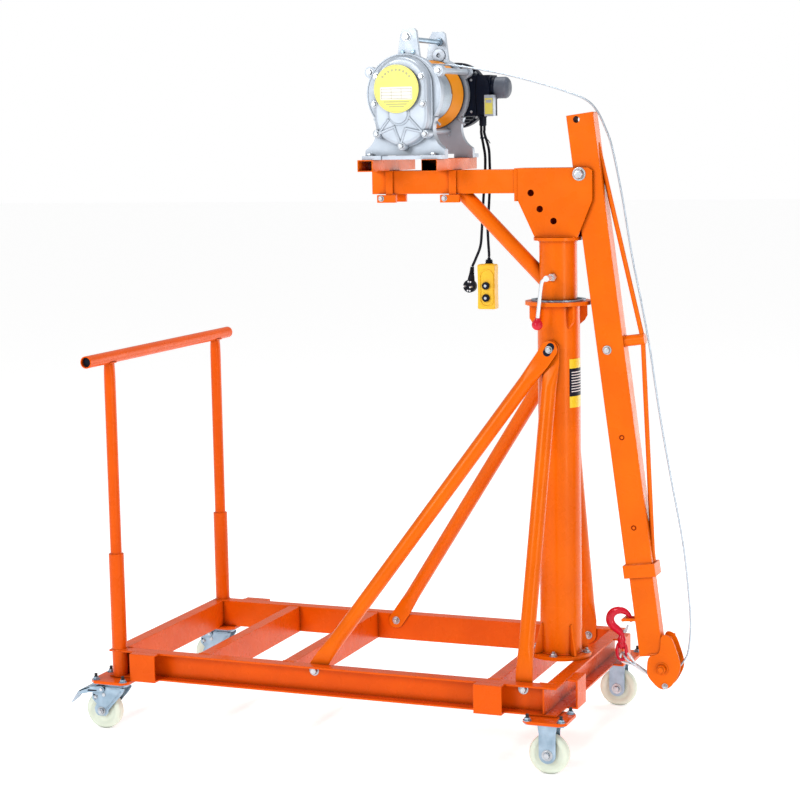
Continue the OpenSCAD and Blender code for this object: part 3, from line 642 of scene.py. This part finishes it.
def pedal(node):
    """Two cheeks on the pin, a channel that narrows to the toe, ribs under the foot and dark notches of
    painted shade.
    """
    y = mid(node).y
    x, z = -CASTER_X - 36, 112
    bm = bmesh.new()
    for e in SIDES:
        outline = arc(x, z, 8, 100, -80, 10)
        outline += [(x - 40, z - 12), (x - 64, z - 18), (x - 68, z - 8), (x - 40, z + 4)]
        plate(bm, outline, y + e * 25 - 2, y + e * 25 + 2)
    rings = []
    t = 2
    for back, drop, w, d in ((34, -4, 27, 4), (56, 1, 27, 9), (70, 10, 27, 9), (80, 22, 24, 7),
                             (92, 37, 18, 5), (101, 46, 11, 3.4), (105, 50, 5, 2.6)):
        section = [(-w, 0), (-w, -d), (t - w, -d), (t - w, -t), (w - t, -t), (w - t, -d), (w, -d), (w, 0)]
        rings.append([(x - back + 0.5 * v, y + u, z - drop + 0.8 * v) for u, v in section])
    loft(bm, rings)
    for k in range(3):
        a = Vector((x - 74 - 8 * k, y, z - 13.6 - 10 * k))
        rib = (19 - 5 * k) * Y
        tube(bm, [a - rib, a + rib], 1.3, 8)
    # thin dark plates shaped as notches: painted shade on the pedal's sides
    for e in SIDES:
        face = y + e * 27.1
        notch_shade = [(x - 14, z - 3), (x - 40, z - 3), (x - 42, z - 8), (x - 14, z - 6)]
        plate(bm, notch_shade, face - 0.3, face + 0.3, 1)
    detail(node, bm, [ZINC, BLACK], 0.5)


def mirrored(half):
    """A whole profile from its half on the far side of the middle."""
    return half + [(-along, r) for along, r in reversed(half)]


def wheel(node):
    c = mid(node)
    half = [(16.5, 6.2), (16.5, 13.4), (13.4, 15), (11.2, 18), (10.6, 30), (12.2, 34), (13.8, 37.5), (14, 42),
            (13.1, 46), (10.8, 49.2), (7.5, 50.7), (2.5, 51)]
    bm = bmesh.new()
    ring(bm, mirrored(half), c, Y, 72)
    for s in SIDES:
        ring(bm, [(s * 14, 6.2), (s * 17, 6.2), (s * 17, 10.4), (s * 14, 10.8)], c, Y, 32, 1)
    detail(node, bm, [NYLON, STEEL])


# push handle


def handle():
    bm = bmesh.new()
    y0, y1 = least("handle_bar").y, most("handle_bar").y
    ring(bm, [(y0, 13.1), (y0, 15.5), (y0 + 0.5, 16), (y1 - 0.5, 16), (y1, 15.5), (y1, 13.1), (y1 - 60, 13),
              (y0 + 60, 13)], (BAR.x, 0, BAR.z), Y, 40)
    for y in (y0 + 9, y1 - 11):
        lathe(bm, [(0, 12.9), (2, 12.9)], (BAR.x, y, BAR.z), Y, 32, 1)
    detail("handle_bar", bm, [ORANGE, BLACK])
    bm = bmesh.new()
    sizes = [(z, 15, 15) for z in (250, 480, 900, 945)]
    sizes += [(965, 14.2, 15.8), (980, 12.5, 17), (986, 11.5, 17.4)]
    for s in SIDES:
        c = Vector((BAR.x, s * POST_Y, 0))
        loft(bm, [circle(c + z * Z, a * X, b * Y, 1, 32) for z, a, b in sizes])
        for e in SIDES:
            bead(bm, [c + Vector((e * (12 + 1.6 * math.sin(math.pi * k / 8)), -17 + 34 * k / 8, 985))
                      for k in range(9)], 2.2)
        round_weld(bm, c + 476 * Z, 15.4, 1.6, 24)
    detail("handle_posts", bm, [ORANGE])


# weld beads, painted over with the steelwork


def round_weld(bm, centre, r, size=2.4, n=36):
    """A bead round a tube that stands upright."""
    loop = circle(Vector(centre), X, Y, r, n)
    bead(bm, loop + loop[:1], size)


def base_welds():
    bm = bmesh.new()
    for s in SIDES:
        round_weld(bm, (BAR.x, s * POST_Y, RAIL_TOP), 20.5)
        inner = s * RAIL_BACK
        for x in (-372, -128, 434):
            bead(bm, [(x, inner, RAIL_TOP), (x + 32, inner, RAIL_TOP)], 2.0)
            for z in (RAIL_LOW + 6, RAIL_LOW + 30, RAIL_LOW + 52):
                bead(bm, [(x + 27, inner, z), (x + 27, inner, z + 14)], 2.2)
        for x in (-586, 586):
            bead(bm, [(x - 18, inner, RAIL_TOP), (x + 18, inner, RAIL_TOP)], 2.0)
    for x, s in ((-510, -1), (452, -1), (-500, 1), (452, 1)):
        y = s * HALF_WIDTH
        for e in (-37, 37):
            bead(bm, [(x + e, y - s * 2, RAIL_TOP - 1), (x + e, y + s * 4, RAIL_TOP - 1)], 2.2)
    for z in (RAIL_TOP + 11, 1127):
        round_weld(bm, (COLUMN_X, 0, z), COLUMN_R + 0.5, 3)
    for u, v in ((1, 1), (-1, 1), (-1, -1), (1, -1)):
        out = Vector((u, v, 0)).normalized()
        for z0, z1 in ((232, 300), (1074, 1122)):
            for e in (-3.4, 3.4):
                foot = COLUMN_X * X + out * (COLUMN_R + 0.4) + Z.cross(out) * e
                bead(bm, [foot + z0 * Z, foot + z1 * Z], 1.6)
    piece("frame_welds", bm, [ORANGE], "base")


def grease_ring():
    bm = bmesh.new()
    ring(bm, [(-0.1, 48.6), (-0.1, 60), (0.3, 58), (0.3, 48.6)], (COLUMN_X, 0, 1142), Z, 64)
    piece("grease_ring", bm, [BLACK], "base")


def column_label():
    """A patch without letters, wrapped on the column: a yellow field, a dark one on it and pale bars."""
    bm = bmesh.new()
    bars = [(z, z + 2.2, -38, 8, 0.9, 2) for z in range(908, 962, 7)]
    for z0, z1, a0, a1, lift, mat in [(868, 992, -44, 12, 0.5, 0), (897, 968, -44, 12, 0.7, 1), *bars]:
        inner, outer = (arc(COLUMN_X, 0, COLUMN_R + e, a0, a1, 12) for e in (-0.1, lift))
        loft(bm, [[(*p, z0), (*q, z0), (*q, z1), (*p, z1)] for p, q in zip(inner, outer)], True, mat)
    piece("column_label", bm, [LABEL, BLACK, PALE], "base", turn=60)


def head_welds():
    bm = bmesh.new()
    for s in SIDES:
        bead(bm, [(490, s * 34, 1300), (590, s * 34, 1300)], 2.2)
        bead(bm, [(431, s * 30.5, 1412), (431, s * 30.5, 1468)], 2.2)
        bead(bm, [(439, s * 33, 1398), (439, s * 33, 1470)], 1.8)
    round_weld(bm, (COLUMN_X, 0, 1290), 48.5, 2.6)
    piece("head_welds", bm, [PAINTED_LIGHT_ORANGE], "slewing_head")


def boom_welds():
    bm = bmesh.new()
    for s in SIDES:
        for z in (-998, -1028):
            bead(bm, [in_boom(-16, s * 22.6, z + 2), in_boom(50, s * 22.6, z + 2)], 1.6)
        bead(bm, [in_boom(53, s * 12, -416), in_boom(53, s * 12, -444)], 2.2)
    bead(bm, [in_boom(53, y, z) for y, z in arc(0, -430, 14, 0, 360, 16)], 2.2)
    for z in (-670, -902):
        plug_weld(bm, in_boom(17, -22, z))
    piece("boom_welds", bm, [PAINTED_LIGHT_ORANGE, PAINTED_SHADE], "boom")


def plug_weld(bm, place):
    """A drilled hole filled with weld: a low rim, a groove of painted shade and a small crown."""
    lathe(bm, [(0, 7), (0.2, 6.8)], place, -Y, 28, 1)
    ring(bm, [(0, 6.4), (0, 8), (0.7, 7.6), (0.7, 6.8)], place, -Y, 28)
    lathe(bm, [(0, 4.2), (0.7, 3.6), (1, 2)], place, -Y, 24)


def cheek_welds():
    bm = bmesh.new()
    for s in SIDES:
        for k in range(5):
            a = Vector((808 + 5.5 * k, s * 18.8, 246 + 9.5 * k))
            bead(bm, [a, a + Vector((2.5, 0, 5))], 3.0)
        bead(bm, [(806, s * 18.6, 243), (773, s * 18.6, 237)], 2.4)
    piece("cheek_welds", bm, [PAINTED_LIGHT_ORANGE], "boom_extension")


# sheave and its bolts


def soften(points, rounds):
    """An outline with its corners cut back, once for each round."""
    for _ in range(rounds):
        cut = []
        for a, b in zip(points, points[1:] + points[:1]):
            cut += [(a[0] + 0.22 * (b[0] - a[0]), a[1] + 0.22 * (b[1] - a[1])),
                    (a[0] + 0.78 * (b[0] - a[0]), a[1] + 0.78 * (b[1] - a[1]))]
        points = cut
    return points


def cheeks():
    outline = soften([(806, 292), (822, 294), (836, 284), (848, 252), (858, 219), (855, 198), (836, 162),
                      (817, 150), (799, 153), (776, 176), (769, 190), (772, 236), (804, 242)], 3)
    bm = bmesh.new()
    for y in (-20.2, 20.2):
        plate(bm, outline, y - 2.5, y + 2.5)
    detail("sheave_cheeks", bm, [PAINTED_LIGHT_ORANGE], 0.8)


def sheave_set():
    bm = bmesh.new()
    half = [(15, 8.1), (15, 19), (10, 20.5), (9, 24), (9, 33), (10, 36), (10, 37.4), (8.6, 38), (5.2, 34.5),
            (2.8, 32.2)]
    ring(bm, mirrored(half), SHEAVE, Y, 64)
    detail("sheave", bm, [STEEL])
    bm = bmesh.new()
    face = 22.7 * Y
    keeper = Vector((817, 0, 160))
    cylinder(bm, SHEAVE - face, SHEAVE + face, 7.9)
    cylinder(bm, keeper - 17 * Y, keeper + 17 * Y, 4)
    for s in SIDES:
        bolt(bm, SHEAVE + s * face, s * Y, 12.6, 4, 1, 1)
        bolt(bm, keeper + s * face, s * Y, 5.8, 3)
    detail("sheave_bolts", bm, [STEEL, PAINTED_LIGHT_ORANGE])


def boom_bolt():
    bm = bmesh.new()
    bolt(bm, in_boom(9, -22, -446), -Y, 8.4)
    detail("boom_bolts", bm, [STEEL])


# winch; the places on its near side are (x, z)

COVER_BACK, COVER_FACE = -118, -148
COVER = (172, 1645)
COVER_BOLTS = ((108, 1709), (101, 1640), (106, 1565), (172, 1534), (229, 1706), (232, 1638), (236, 1563))
HUB = (168, 1614)
BADGE_AT = (165, 1676)
ROD = Vector((190, 0, 1799))


def gear_cover():
    bm = bmesh.new()
    steps = ((0, 74.5), (1, 76.5), (5, 76.5), (7, 73.5), (20, 72.5), (26, 71), (29, 67.5), (30, 62))
    loft(bm, [[(x, COVER_BACK - out, z) for x, z in stadium(*COVER, r, 38)] for out, r in steps])
    for x, z in COVER_BOLTS:
        lathe(bm, [(0, 12), (3, 12), (24, 11), (29, 10.4), (30, 9.4)], (x, COVER_BACK, z), -Y, 24)
    x, z = BADGE_AT
    lathe(bm, [(0, 57), (2, 57), (3, 55.5), (7, 55), (8, 54)], (x, COVER_FACE, z), -Y, 64)
    x, z = HUB
    lathe(bm, [(0, 30), (2, 29), (3.5, 25), (5.5, 24), (7.4, 23)], (x, COVER_FACE, z), -Y, 48)
    for a, b in (((140, 1601), (112, 1566)), ((157, 1583), (112, 1566)), ((154, 1583), (171, 1538)),
                 ((185, 1578), (171, 1538)), ((193, 1607), (230, 1568)), ((185, 1578), (230, 1568))):
        rib = [Vector((x, COVER_FACE + 0.4, z)) for x, z in (a, b)]
        tube(bm, [rib[0], rib[0].lerp(rib[1], 0.5), rib[1]], 3.6, 10)
    for x, z in ((141, 1736), (200, 1739)):
        lathe(bm, [(0, 5), (2, 4.6), (2.6, 3.6)], (x, -119, z), -Y, 16)
    detail("gear_cover", bm, [ALU])


def winch_trim():
    """Stepped rings and ribs of the cast frames, the foot strip, the hanger rod and the ear bolts."""
    bm = bmesh.new()
    ring(bm, [(-94, 60), (-94, 92), (-91.5, 92), (-91.5, 86), (-88.6, 86), (-88.6, 60)], WINCH, Y, 72)
    for y, r in ((COVER_BACK, 100.4), (-95.6, 100.4), (91.6, 97.4), (104.4, 97.4)):
        band(bm, y - 1.4, y + 1.4, r - 3, r, WINCH, Y, 72)
    for y in (-94, 90):
        for a in (232, 262, 292, 318):
            tube(bm, [WINCH + y * Y + 92 * spoke(a), WINCH + y * Y + 118 * spoke(a)], 3, 8)
    rod_near, rod_far = ROD - 101 * Y, ROD + 91 * Y
    cylinder(bm, rod_near, rod_far, 6.6, mat=1)
    hexagon(bm, rod_near, Y, 10, 7, 1)
    hexagon(bm, rod_far, -Y, 10, 7, 1)
    ring(bm, [(86.8, 6), (86.8, 16), (87.6, 17), (91, 17), (91, 6)], (188, 0, 1765), Y, 36)
    foot = least("winch_frame").z
    box(bm, (WINCH.x - 58, -138, foot), (WINCH.x + 58, -117, foot + 9))
    for x in (168, 196):
        bolt(bm, (x, -114, 1768), -Y, 4.6, 0, 1)
        bolt(bm, (x, 104, 1768), Y, 4.6, 0, 1)
    bolt(bm, ROD + 104 * Y, Y, 9, 0, 1)
    piece("winch_trim", bm, [ALU, ZINC], "slewing_head", ["winch_frame"])


def winch_bolts():
    bm = bmesh.new()
    for x, z in COVER_BOLTS:
        bolt(bm, (x, COVER_FACE, z), -Y, 6.4)
    for s in SIDES:
        bolt(bm, (WINCH.x + s * 92, COVER_BACK, WINCH.z + 56), -Y, 7.4)
    bolt(bm, (178, -114, 1806), -Y, 9.2)
    detail("winch_bolts", bm, [STEEL])


def badge():
    """A plain round plate: a rim line, a blank table with rules, three bars and an arch of dots."""
    bm = bmesh.new()
    x, z = BADGE_AT
    centre = (x, COVER_FACE - 8, z)
    lathe(bm, [(0, 60), (1.5, 60), (2, 59.4)], centre, -Y, 80)
    ring(bm, [(1.8, 57.6), (2.2, 57.4), (2.2, 56.6), (1.8, 56.4)], centre, -Y, 80, 2)
    panel = []
    for k, (u, v) in enumerate(((40, 2), (-40, 2), (-40, -24), (40, -24))):
        panel += arc(x + u, z + v, 3, 90 * k, 90 * k + 90, 4)
    plate(bm, panel, -158.3, -157.9, 1)
    for k in range(4):
        box(bm, (x - 41, -158.5, z - 24.4 + 8 * k), (x + 41, -158.2, z - 23.6 + 8 * k), 2)
        box(bm, (x - 40.4 + 26.8 * k, -158.5, z - 24), (x - 39.6 + 26.8 * k, -158.2, z), 2)
    for w, drop in ((34, 32), (28, 38), (20, 44)):
        box(bm, (x - w, -158.4, z - drop - 1), (x + w, -158, z - drop + 1), 2)
    for u, v in arc(x, z, 47, 40, 140, 8):
        lathe(bm, [(0, 3.2), (0.4, 3)], (u, -157.9, v), -Y, 12, 2)
    detail("winch_badge", bm, [BADGE, PALE, RULE])


def drum():
    """The drum's core with one layer of rope wound on it, and its flanges."""
    bm = bmesh.new()
    lathe(bm, [(-79, 67), (43, 67)], WINCH, Y, 48)
    turns, steps, pitch = 22, 40, 5.25
    line = []
    for k in range(turns * steps + 1):
        line.append(WINCH + 69.4 * spoke(360 * k / steps) + (pitch * k / steps - 76) * Y)
    tube(bm, line, 2.6, 8)
    piece("wound_rope", bm, [WIRE], "drum", ["drum_core"])
    bm = bmesh.new()
    cone = [(43, 20), (43, 71), (45, 73.5), (76, 88), (79, 88.4), (79, 84), (86, 84), (86, 20)]
    ring(bm, cone, WINCH, Y, 72)
    ring(bm, [(79.2, 84), (79.2, 88.6), (80, 89), (85.4, 89), (86, 88.4), (86, 84)], WINCH, Y, 72, 1)
    ring(bm, [(-87, 20), (-87, 88.4), (-86.4, 89), (-79.6, 89), (-79, 88.4), (-79, 20)], WINCH, Y, 72)
    detail("drum_flanges", bm, [DRUM, BLACK])


def motor():
    """The finned case with its fan cover, and the cylinder that stands out beside it."""
    bm = bmesh.new()
    case = [(106, 80), (108, 82), (117, 82), (119, 79), (240, 79), (243, 82), (260, 82), (262, 80)]
    lathe(bm, case, WINCH, Y, 64)
    fins = 44
    fin = ((78, -1.5), (86.8, -1), (86.8, 1), (78, 1.5))
    for k in range(fins):
        out, side = spoke(360 * k / fins), spoke(360 * k / fins + 90)
        loft(bm, [[WINCH + y * Y + r * out + w * side for r, w in fin] for y in (118, 241)])
    lathe(bm, [(262, 84), (264, 87.6), (290, 87.6), (296, 84), (299, 76), (300, 60)], WINCH, Y, 64)
    for r in (20, 36, 52):
        ring(bm, [(299, r), (300, r + 0.5), (300, r + 5.5), (299, r + 6)], WINCH, Y, 48)
    for a in (45, 135, 225, 315):
        bolt(bm, WINCH + 262 * Y + 81 * spoke(a), -Y, 4, 0, 2)
    capacitor = (321, 140, 1679)
    lathe(bm, [(0, 28), (33, 28), (38, 26), (43, 20), (46, 11)], capacitor, X, 40, 1)
    ring(bm, [(0, 24), (0, 30), (7, 30), (8.5, 28), (8.5, 24)], capacitor, X, 40)
    detail("motor", bm, [BLACK, SLATE, STEEL])


def switch_box_trim():
    """Lid seam, screws, the small junction block's casing and the cable gland."""
    bm = bmesh.new()
    face = 107
    gland = Vector((298, 116, 1584))
    box(bm, (279, 105, 1606.6), (283, face + 0.6, 1712.4))
    plate(bm, soften([(285, 1609), (320, 1609), (320, 1710), (285, 1710)], 3), 102, face)
    for z in (1618, 1700):
        for x in (270, 312):
            lathe(bm, [(0, 3.6), (1.4, 3.2)], (x, face, z), -Y, 16, 1)
    box(bm, (308.6, 97.6, 1605.6), (333.4, 116.4, 1660.4), 2)
    box(bm, (310.4, 97.1, 1611), (331.6, 97.6, 1652), 3)
    box(bm, (313, 96.9, 1640), (329, 97.2, 1648), 2)
    for k in range(5):
        band(bm, 4 * k, 4 * k + 2.4, 8, 10, gland, Z, 28)
    hexagon(bm, gland + 19 * Z, Z, 12, 6)
    piece("switch_box_trim", bm, [BLACK, STEEL, ALU, BADGE], "slewing_head", ["control_box"], 0.4)


# pendant and plug


def frame_ring(bm, outer, inner, y0, y1):
    """A flat ring between two outlines, from y0 to y1."""
    edges = ((outer, y0), (outer, y1), (inner, y1), (inner, y0), (outer, y0))
    loft(bm, [[(x, y, z) for x, z in line] for line, y in edges], False)


def pendant():
    """A moulded case with an oval ring round its two buttons, and a ribbed sleeve on its neck."""
    a, b = least("pendant_housing"), most("pendant_housing")
    x0, x1, y0, y1 = a.x, b.x, a.y + 5, b.y
    bm = bmesh.new()
    rings = []
    for z, cut in ((1104, 3), (1106, 0), (1140, 0.6), (1180, 0.6), (1219, 0), (1222, 3)):
        left, right, front, back = x0 + cut, x1 - cut, y0 + cut, y1 - cut
        rings.append([(left, front, z), (right, front, z), (right, back, z), (left, back, z)])
    loft(bm, rings)
    x, z = mid("up_button").x + 1.5, 1160
    frame_ring(bm, stadium(x, z, 19.5, 30), stadium(x, z, 16.4, 30), y0 + 1, y0 - 1.8)
    neck = (316, 100, 1221)
    lathe(bm, [(0, 13), (1.5, 13), (2.5, 11)], neck, Z, 28)
    for k in range(5):
        z, r = 4 * k, 10.4 - (0.6 if k < 3 else 2.2) * k * 0.8
        lathe(bm, [(1 + z, r - 1.4), (1.8 + z, r), (4 + z, r), (4.8 + z, r - 1.8)], neck, Z, 24, 1)
    detail("pendant_housing", bm, [YELLOW, BLACK], 2.2)
    for node in ("up_button", "down_button"):
        c = mid(node)
        bm = bmesh.new()
        lathe(bm, [(-4.5, 9.9), (2.4, 9.9), (3.8, 9.2), (4.4, 7.8)], c, -Y, 36)
        lathe(bm, [(3.8, 3.7), (4.7, 3.7), (5, 3)], c, -Y, 28, 1)
        detail(node, bm, [BLACK, ALU])


def plug():
    """A round right-angled plug: the lead comes in above, and the two pins stand on its near face."""
    up, side = spoke(84), spoke(-6)
    disc = Vector((265, 100, 1176)) - 12 * up
    bm = bmesh.new()
    lathe(bm, [(-12, 11), (-10.6, 14), (-4, 16.6), (6, 17), (11.4, 17), (12, 16.4)], disc, -Y, 44)
    ring(bm, [(11, 12.4), (11, 16.8), (13.2, 16.4), (13.2, 13)], disc, -Y, 44)
    lathe(bm, [(10, 10), (20, 9), (28, 7.6), (32, 6.4)], disc, up, 28)
    for k in range(5):
        along, r = 32 + 3.8 * k, 7 - 0.5 * k
        lathe(bm, [(along, 5.2), (along + 0.8, r), (along + 2.4, r), (along + 3.4, 5)], disc, up, 24)
    for e in (-9, 9):
        pin = disc + e * side
        lathe(bm, [(10, 2.4), (30, 2.4), (31, 1.6)], pin, -Y, 16, 1)
        for s in SIDES:
            clip = disc + 1.3 * e * up - 12 * Y + 3 * s * side
            cylinder(bm, clip, clip - 1.6 * Y, 2.4, 14, 0.4, 1)
    return detail("power_plug", bm, [RUBBER, BRIGHT])


# slew lock


def lock():
    """The clamp screw with its nut, its bent lever and the ball on the end."""
    c = Vector((COLUMN_X, 0, 1200))
    y = -98
    bm = bmesh.new()
    thread = [(-34, 5.2)]
    for k in range(9):
        thread += [(-35 - 1.6 * k, 5.9), (-35.8 - 1.6 * k, 5.2)]
    lathe(bm, [(-at, r) for at, r in thread] + [(50, 5.9), (103, 5.9)], c, -Y, 28)
    hexagon(bm, c - 50 * Y, -Y, 10.5, 12)
    cylinder(bm, c - 89 * Y, c - 105 * Y, 7.5)
    bend = [(6, 4), (-3, -1), (-12, -8), (-16, -26), (-20, -60), (-25, -104)]
    tube(bm, smooth_line([c + Vector((u, y, v)) for u, v in bend], 4), 4.9, 16)
    detail("lock_lever", bm, [BRIGHT])
    bm = bmesh.new()
    ball = Vector((COLUMN_X - 26, y, 1084))
    up = Vector((2, 0, 20))
    profile = [(-14 * math.cos(math.pi * k / 16), 14 * math.sin(math.pi * k / 16)) for k in range(14)]
    lathe(bm, profile + [(13.4, 7.4), (17, 6.8)], ball, up, 36)
    detail("lever_knob", bm, [RED])


# hook

HOOK_X = 698


def hook():
    """A forged bowl that thickens to its middle and tapers to its tip, its neck and its nut."""
    line = smooth_line([(HOOK_X, 0, 273), (697, 0, 284), (687, 0, 293), (675, 0, 302), (668, 0, 314),
                        (669, 0, 328), (678, 0, 339), (693, 0, 344), (708, 0, 341), (719, 0, 331),
                        (724, 0, 316)], 6)
    full = run_length(line)
    slim, swell, taper_from = 6.6, 3.4, 0.8

    def body(s, a):
        u = s / full
        if u < taper_from:
            thick = slim + swell * math.sin(math.pi * u / taper_from) ** 0.8
        else:
            thick = slim - swell * (u - taper_from) / (1 - taper_from)
        return thick * (1 + 0.12 * math.cos(2 * a))

    bm = bmesh.new()
    tube(bm, line, body, 20)
    lathe(bm, [(-1, 9), (1, 11), (8, 11.4), (12, 9.6), (17, 7.4)], (HOOK_X, 0, 262), Z, 32)
    cylinder(bm, (HOOK_X, 0, 250), (HOOK_X, 0, 263), 5)
    lathe(bm, [(0, 7), (1, 8), (5, 8), (6, 7)], (HOOK_X, 0, 244), Z, 6)
    detail("hook", bm, [RED])


def hook_eye():
    """An oval link under a collar that turns on the hook's shank."""
    bm = bmesh.new()
    link = circle(Vector((HOOK_X, 0, 237.5)), -23.5 * Z, 12 * X, 1, 40)
    tube(bm, link + link[:1], 4.8, 14, closed=False)
    lathe(bm, [(0, 8), (1.5, 10), (11, 10), (13.4, 9)], (HOOK_X, 0, 247.6), Z, 32)
    detail("hook_eye", bm, [RED])


def hook_latch():
    """A folded strip on a pin, with its coil spring."""
    bm = bmesh.new()
    cylinder(bm, (707, -6.5, 290), (707, 6.5, 290), 3)
    for y in (-4.6, 4.6):
        plate(bm, [(704, 288.6), (710, 287.4), (715.8, 306), (713.8, 308.5)], y - 0.6, y + 0.6)
    plate(bm, [(709.6, 287.6), (711.4, 287.2), (717.2, 306), (714.6, 308.8)], -4.6, 4.6)
    coil = [(707 + 4 * math.cos(k * 0.7), -4 + 0.16 * k, 290 + 4 * math.sin(k * 0.7)) for k in range(50)]
    tube(bm, coil, 0.55, 6)
    detail("hook_latch", bm, [STEEL])


def rope_thimble():
    """The rope's end loop and the sleeve pressed on it."""
    bm = bmesh.new()
    tip = Vector((735, 0, 203))
    eye = Vector((707, 0, 221))
    along = (tip - eye).normalized()
    across = Vector((-along.z, 0, along.x))
    drop = [eye + along * 13 * math.cos(t) + across * 13 * math.sin(t)
            for t in (math.radians(62 + 236 * k / 32) for k in range(33))]
    tube(bm, [tip + across * 1.4] + drop + [tip - across * 1.4], 3.2, 12)
    lathe(bm, [(0, 4.6), (1.5, 5.8), (33, 5.8), (35, 4.6)], tip - along * 2, along, 28)
    return piece("rope_thimble", bm, [BRIGHT], "boom_extension")


# cords, along the routes that their CAD solids follow

ROPE = [(172, 0, 1739), (240, 0, 1737), (311, 0, 1727), (400, 0, 1709), (492, 0, 1684), (560, 0, 1662),
        (612, 0, 1640), (640, 0, 1612), (660, 0, 1572), (678, 0, 1522), (703, 0, 1403), (728, 0, 1254),
        (751, 0, 1141), (773, 0, 1024), (799, 0, 853), (828, 0, 690), (858, 0, 530), (872, 0, 410),
        (878, 0, 320), (872, 0, 250), (858, 0, 220)]
ROPE_END = [(846, 0, 205), (835, 0, 180), (809, 0, 169), (790, 0, 174), (772, 0, 180), (745, 0, 196),
            (722, -6, 212), (711, -13, 224), (704, -6.4, 231.5), (699, -1, 234)]
POWER = [(294, 114, 1581), (294, 114, 1571), (294, 114, 1561), (301, 110, 1530), (307, 105, 1500),
         (308, 98, 1450), (303, 98, 1390), (298, 98, 1316), (293, 99, 1270), (280, 100, 1238),
         (269.3, 100, 1216)]
PENDANT = [(302, 116, 1581), (302, 116, 1571), (302, 116, 1561), (314, 113, 1524), (318, 108, 1490),
           (319, 106, 1440), (316, 105, 1380), (312, 104, 1320), (314, 101, 1280), (316, 100, 1252),
           (316, 100, 1242)]


def spaced(points, step):
    """The same line with a point about every step."""
    out = [Vector(points[0])]
    for a, b in zip(points, points[1:]):
        a, b = Vector(a), Vector(b)
        n = max(1, round((b - a).length / step))
        out += [a.lerp(b, (k + 1) / n) for k in range(n)]
    return out


def strands(s, a):
    """The radius of a rope of six strands, which turn once in every lay."""
    radius, lay = 2.75, 34
    return radius * (0.93 + 0.07 * math.cos(6 * (a - 2 * math.pi * s / lay)))


def rope(name, line):
    bm = bmesh.new()
    fine = spaced(line, 1.6)
    tube(bm, fine, strands, 12)
    obj = piece(name, bm, [WIRE], None, ["wire_rope"], turn=180)
    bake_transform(obj)


def lead(name, node, route):
    bm = bmesh.new()
    line = smooth_line(route, 8)
    tube(bm, line, 3.5, 16)
    obj = piece(name, bm, [RUBBER], "slewing_head", [node], turn=180)


def cords(thimble, plug_piece):
    """The rope, in two lengths that meet beside the boom, the two leads and the tie that holds these."""
    steps = 8
    line = smooth_line(ROPE + ROPE_END, steps)
    turn = steps * ROPE.index((751, 0, 1141))
    rope("hoist_rope", line[:turn + 1])
    rope("hoist_rope_lower", line[turn:])
    lead("mains_lead", "power_lead", POWER)
    lead("pendant_lead", "pendant_cable", PENDANT)
    bm = bmesh.new()
    band(bm, 0, 4, 6.6, 8, (299, 114, 1548), Z, 24)
    tube(bm, [(305, 110, 1550), (311, 104, 1549), (318, 99, 1544), (324, 97, 1536)], 1.1, 8)
    piece("cable_tie", bm, [BLACK], "slewing_head", turn=50)


# building the details

base_bolts()
slew_bolts()
mount_plates()
for side in SIDES:
    swivel_fork(side)
for node in ("near_rear_pedal", "far_rear_pedal"):
    pedal(node)
for node in ("near_rear_wheel", "far_rear_wheel", "near_front_wheel", "far_front_wheel"):
    wheel(node)
handle()
base_welds()
grease_ring()
column_label()
head_welds()
boom_welds()
cheeks()
cheek_welds()
sheave_set()
boom_bolt()
gear_cover()
winch_trim()
winch_bolts()
badge()
drum()
motor()
switch_box_trim()
pendant()
lock()
hook()
hook_eye()
hook_latch()
cords(rope_thimble(), plug())


# stage and light


def stage():
    """A pale floor, and an even white sky that lights softly and is seen at full white."""
    mesh = bpy.data.meshes.new("floor")
    far = 40
    mesh.from_pydata([(-far, -far, 0), (far, -far, 0), (far, far, 0), (-far, far, 0)], [], [(0, 1, 2, 3)])
    floor = show("floor", mesh)
    m, _, b = shader("floor", 0.8, specular=0.1)
    white = (1, 1, 1, 1)
    put(b, {"Base Color": (0.93, 0.93, 0.93, 1), "Emission Color": white, "Emission Strength": 0.54})
    mesh.materials.append(m)
    world = bpy.data.worlds.new("studio")
    scene.world = world
    world.use_nodes = True
    tree = world.node_tree
    soft = tree.nodes["Background"]
    put(soft, {"Color": white, "Strength": 0.47})
    seen = tree.nodes.new("ShaderNodeBackground")
    put(seen, {"Color": white})
    path = tree.nodes.new("ShaderNodeLightPath")
    mix = tree.nodes.new("ShaderNodeMixShader")
    tree.links.new(path.outputs["Is Camera Ray"], mix.inputs["Fac"])
    tree.links.new(soft.outputs["Background"], mix.inputs[1])
    tree.links.new(seen.outputs["Background"], mix.inputs[2])
    tree.links.new(mix.outputs["Shader"], tree.nodes["World Output"].inputs["Surface"])


def lamp(name, place, aim, wide, tall, power):
    data = bpy.data.lights.new(name, "AREA")
    data.shape = "RECTANGLE"
    data.size = wide
    data.size_y = tall
    data.energy = power
    obj = show(name, data)
    obj.visible_camera = False
    obj.location = place
    obj.rotation_euler = (Vector(aim) - Vector(place)).to_track_quat("-Z", "Y").to_euler()


stage()
lamp("key", (-1.6, -4.4, 2.8), (0.2, 0, 0.9), 1.3, 1.3, 88)
lamp("side", (3.6, -2.24, 1.35), (0.3, 0, 1.0), 0.35, 2.6, 40)
lamp("rim", (2.2, 3.6, 1.1), (0.4, 0, 1.0), 2.0, 2.2, 27)
lamp("top", (0.2, 0.6, 4.6), (0.2, 0, 0.8), 1.3, 1.3, 70)
scene.view_settings.view_transform = "Standard"
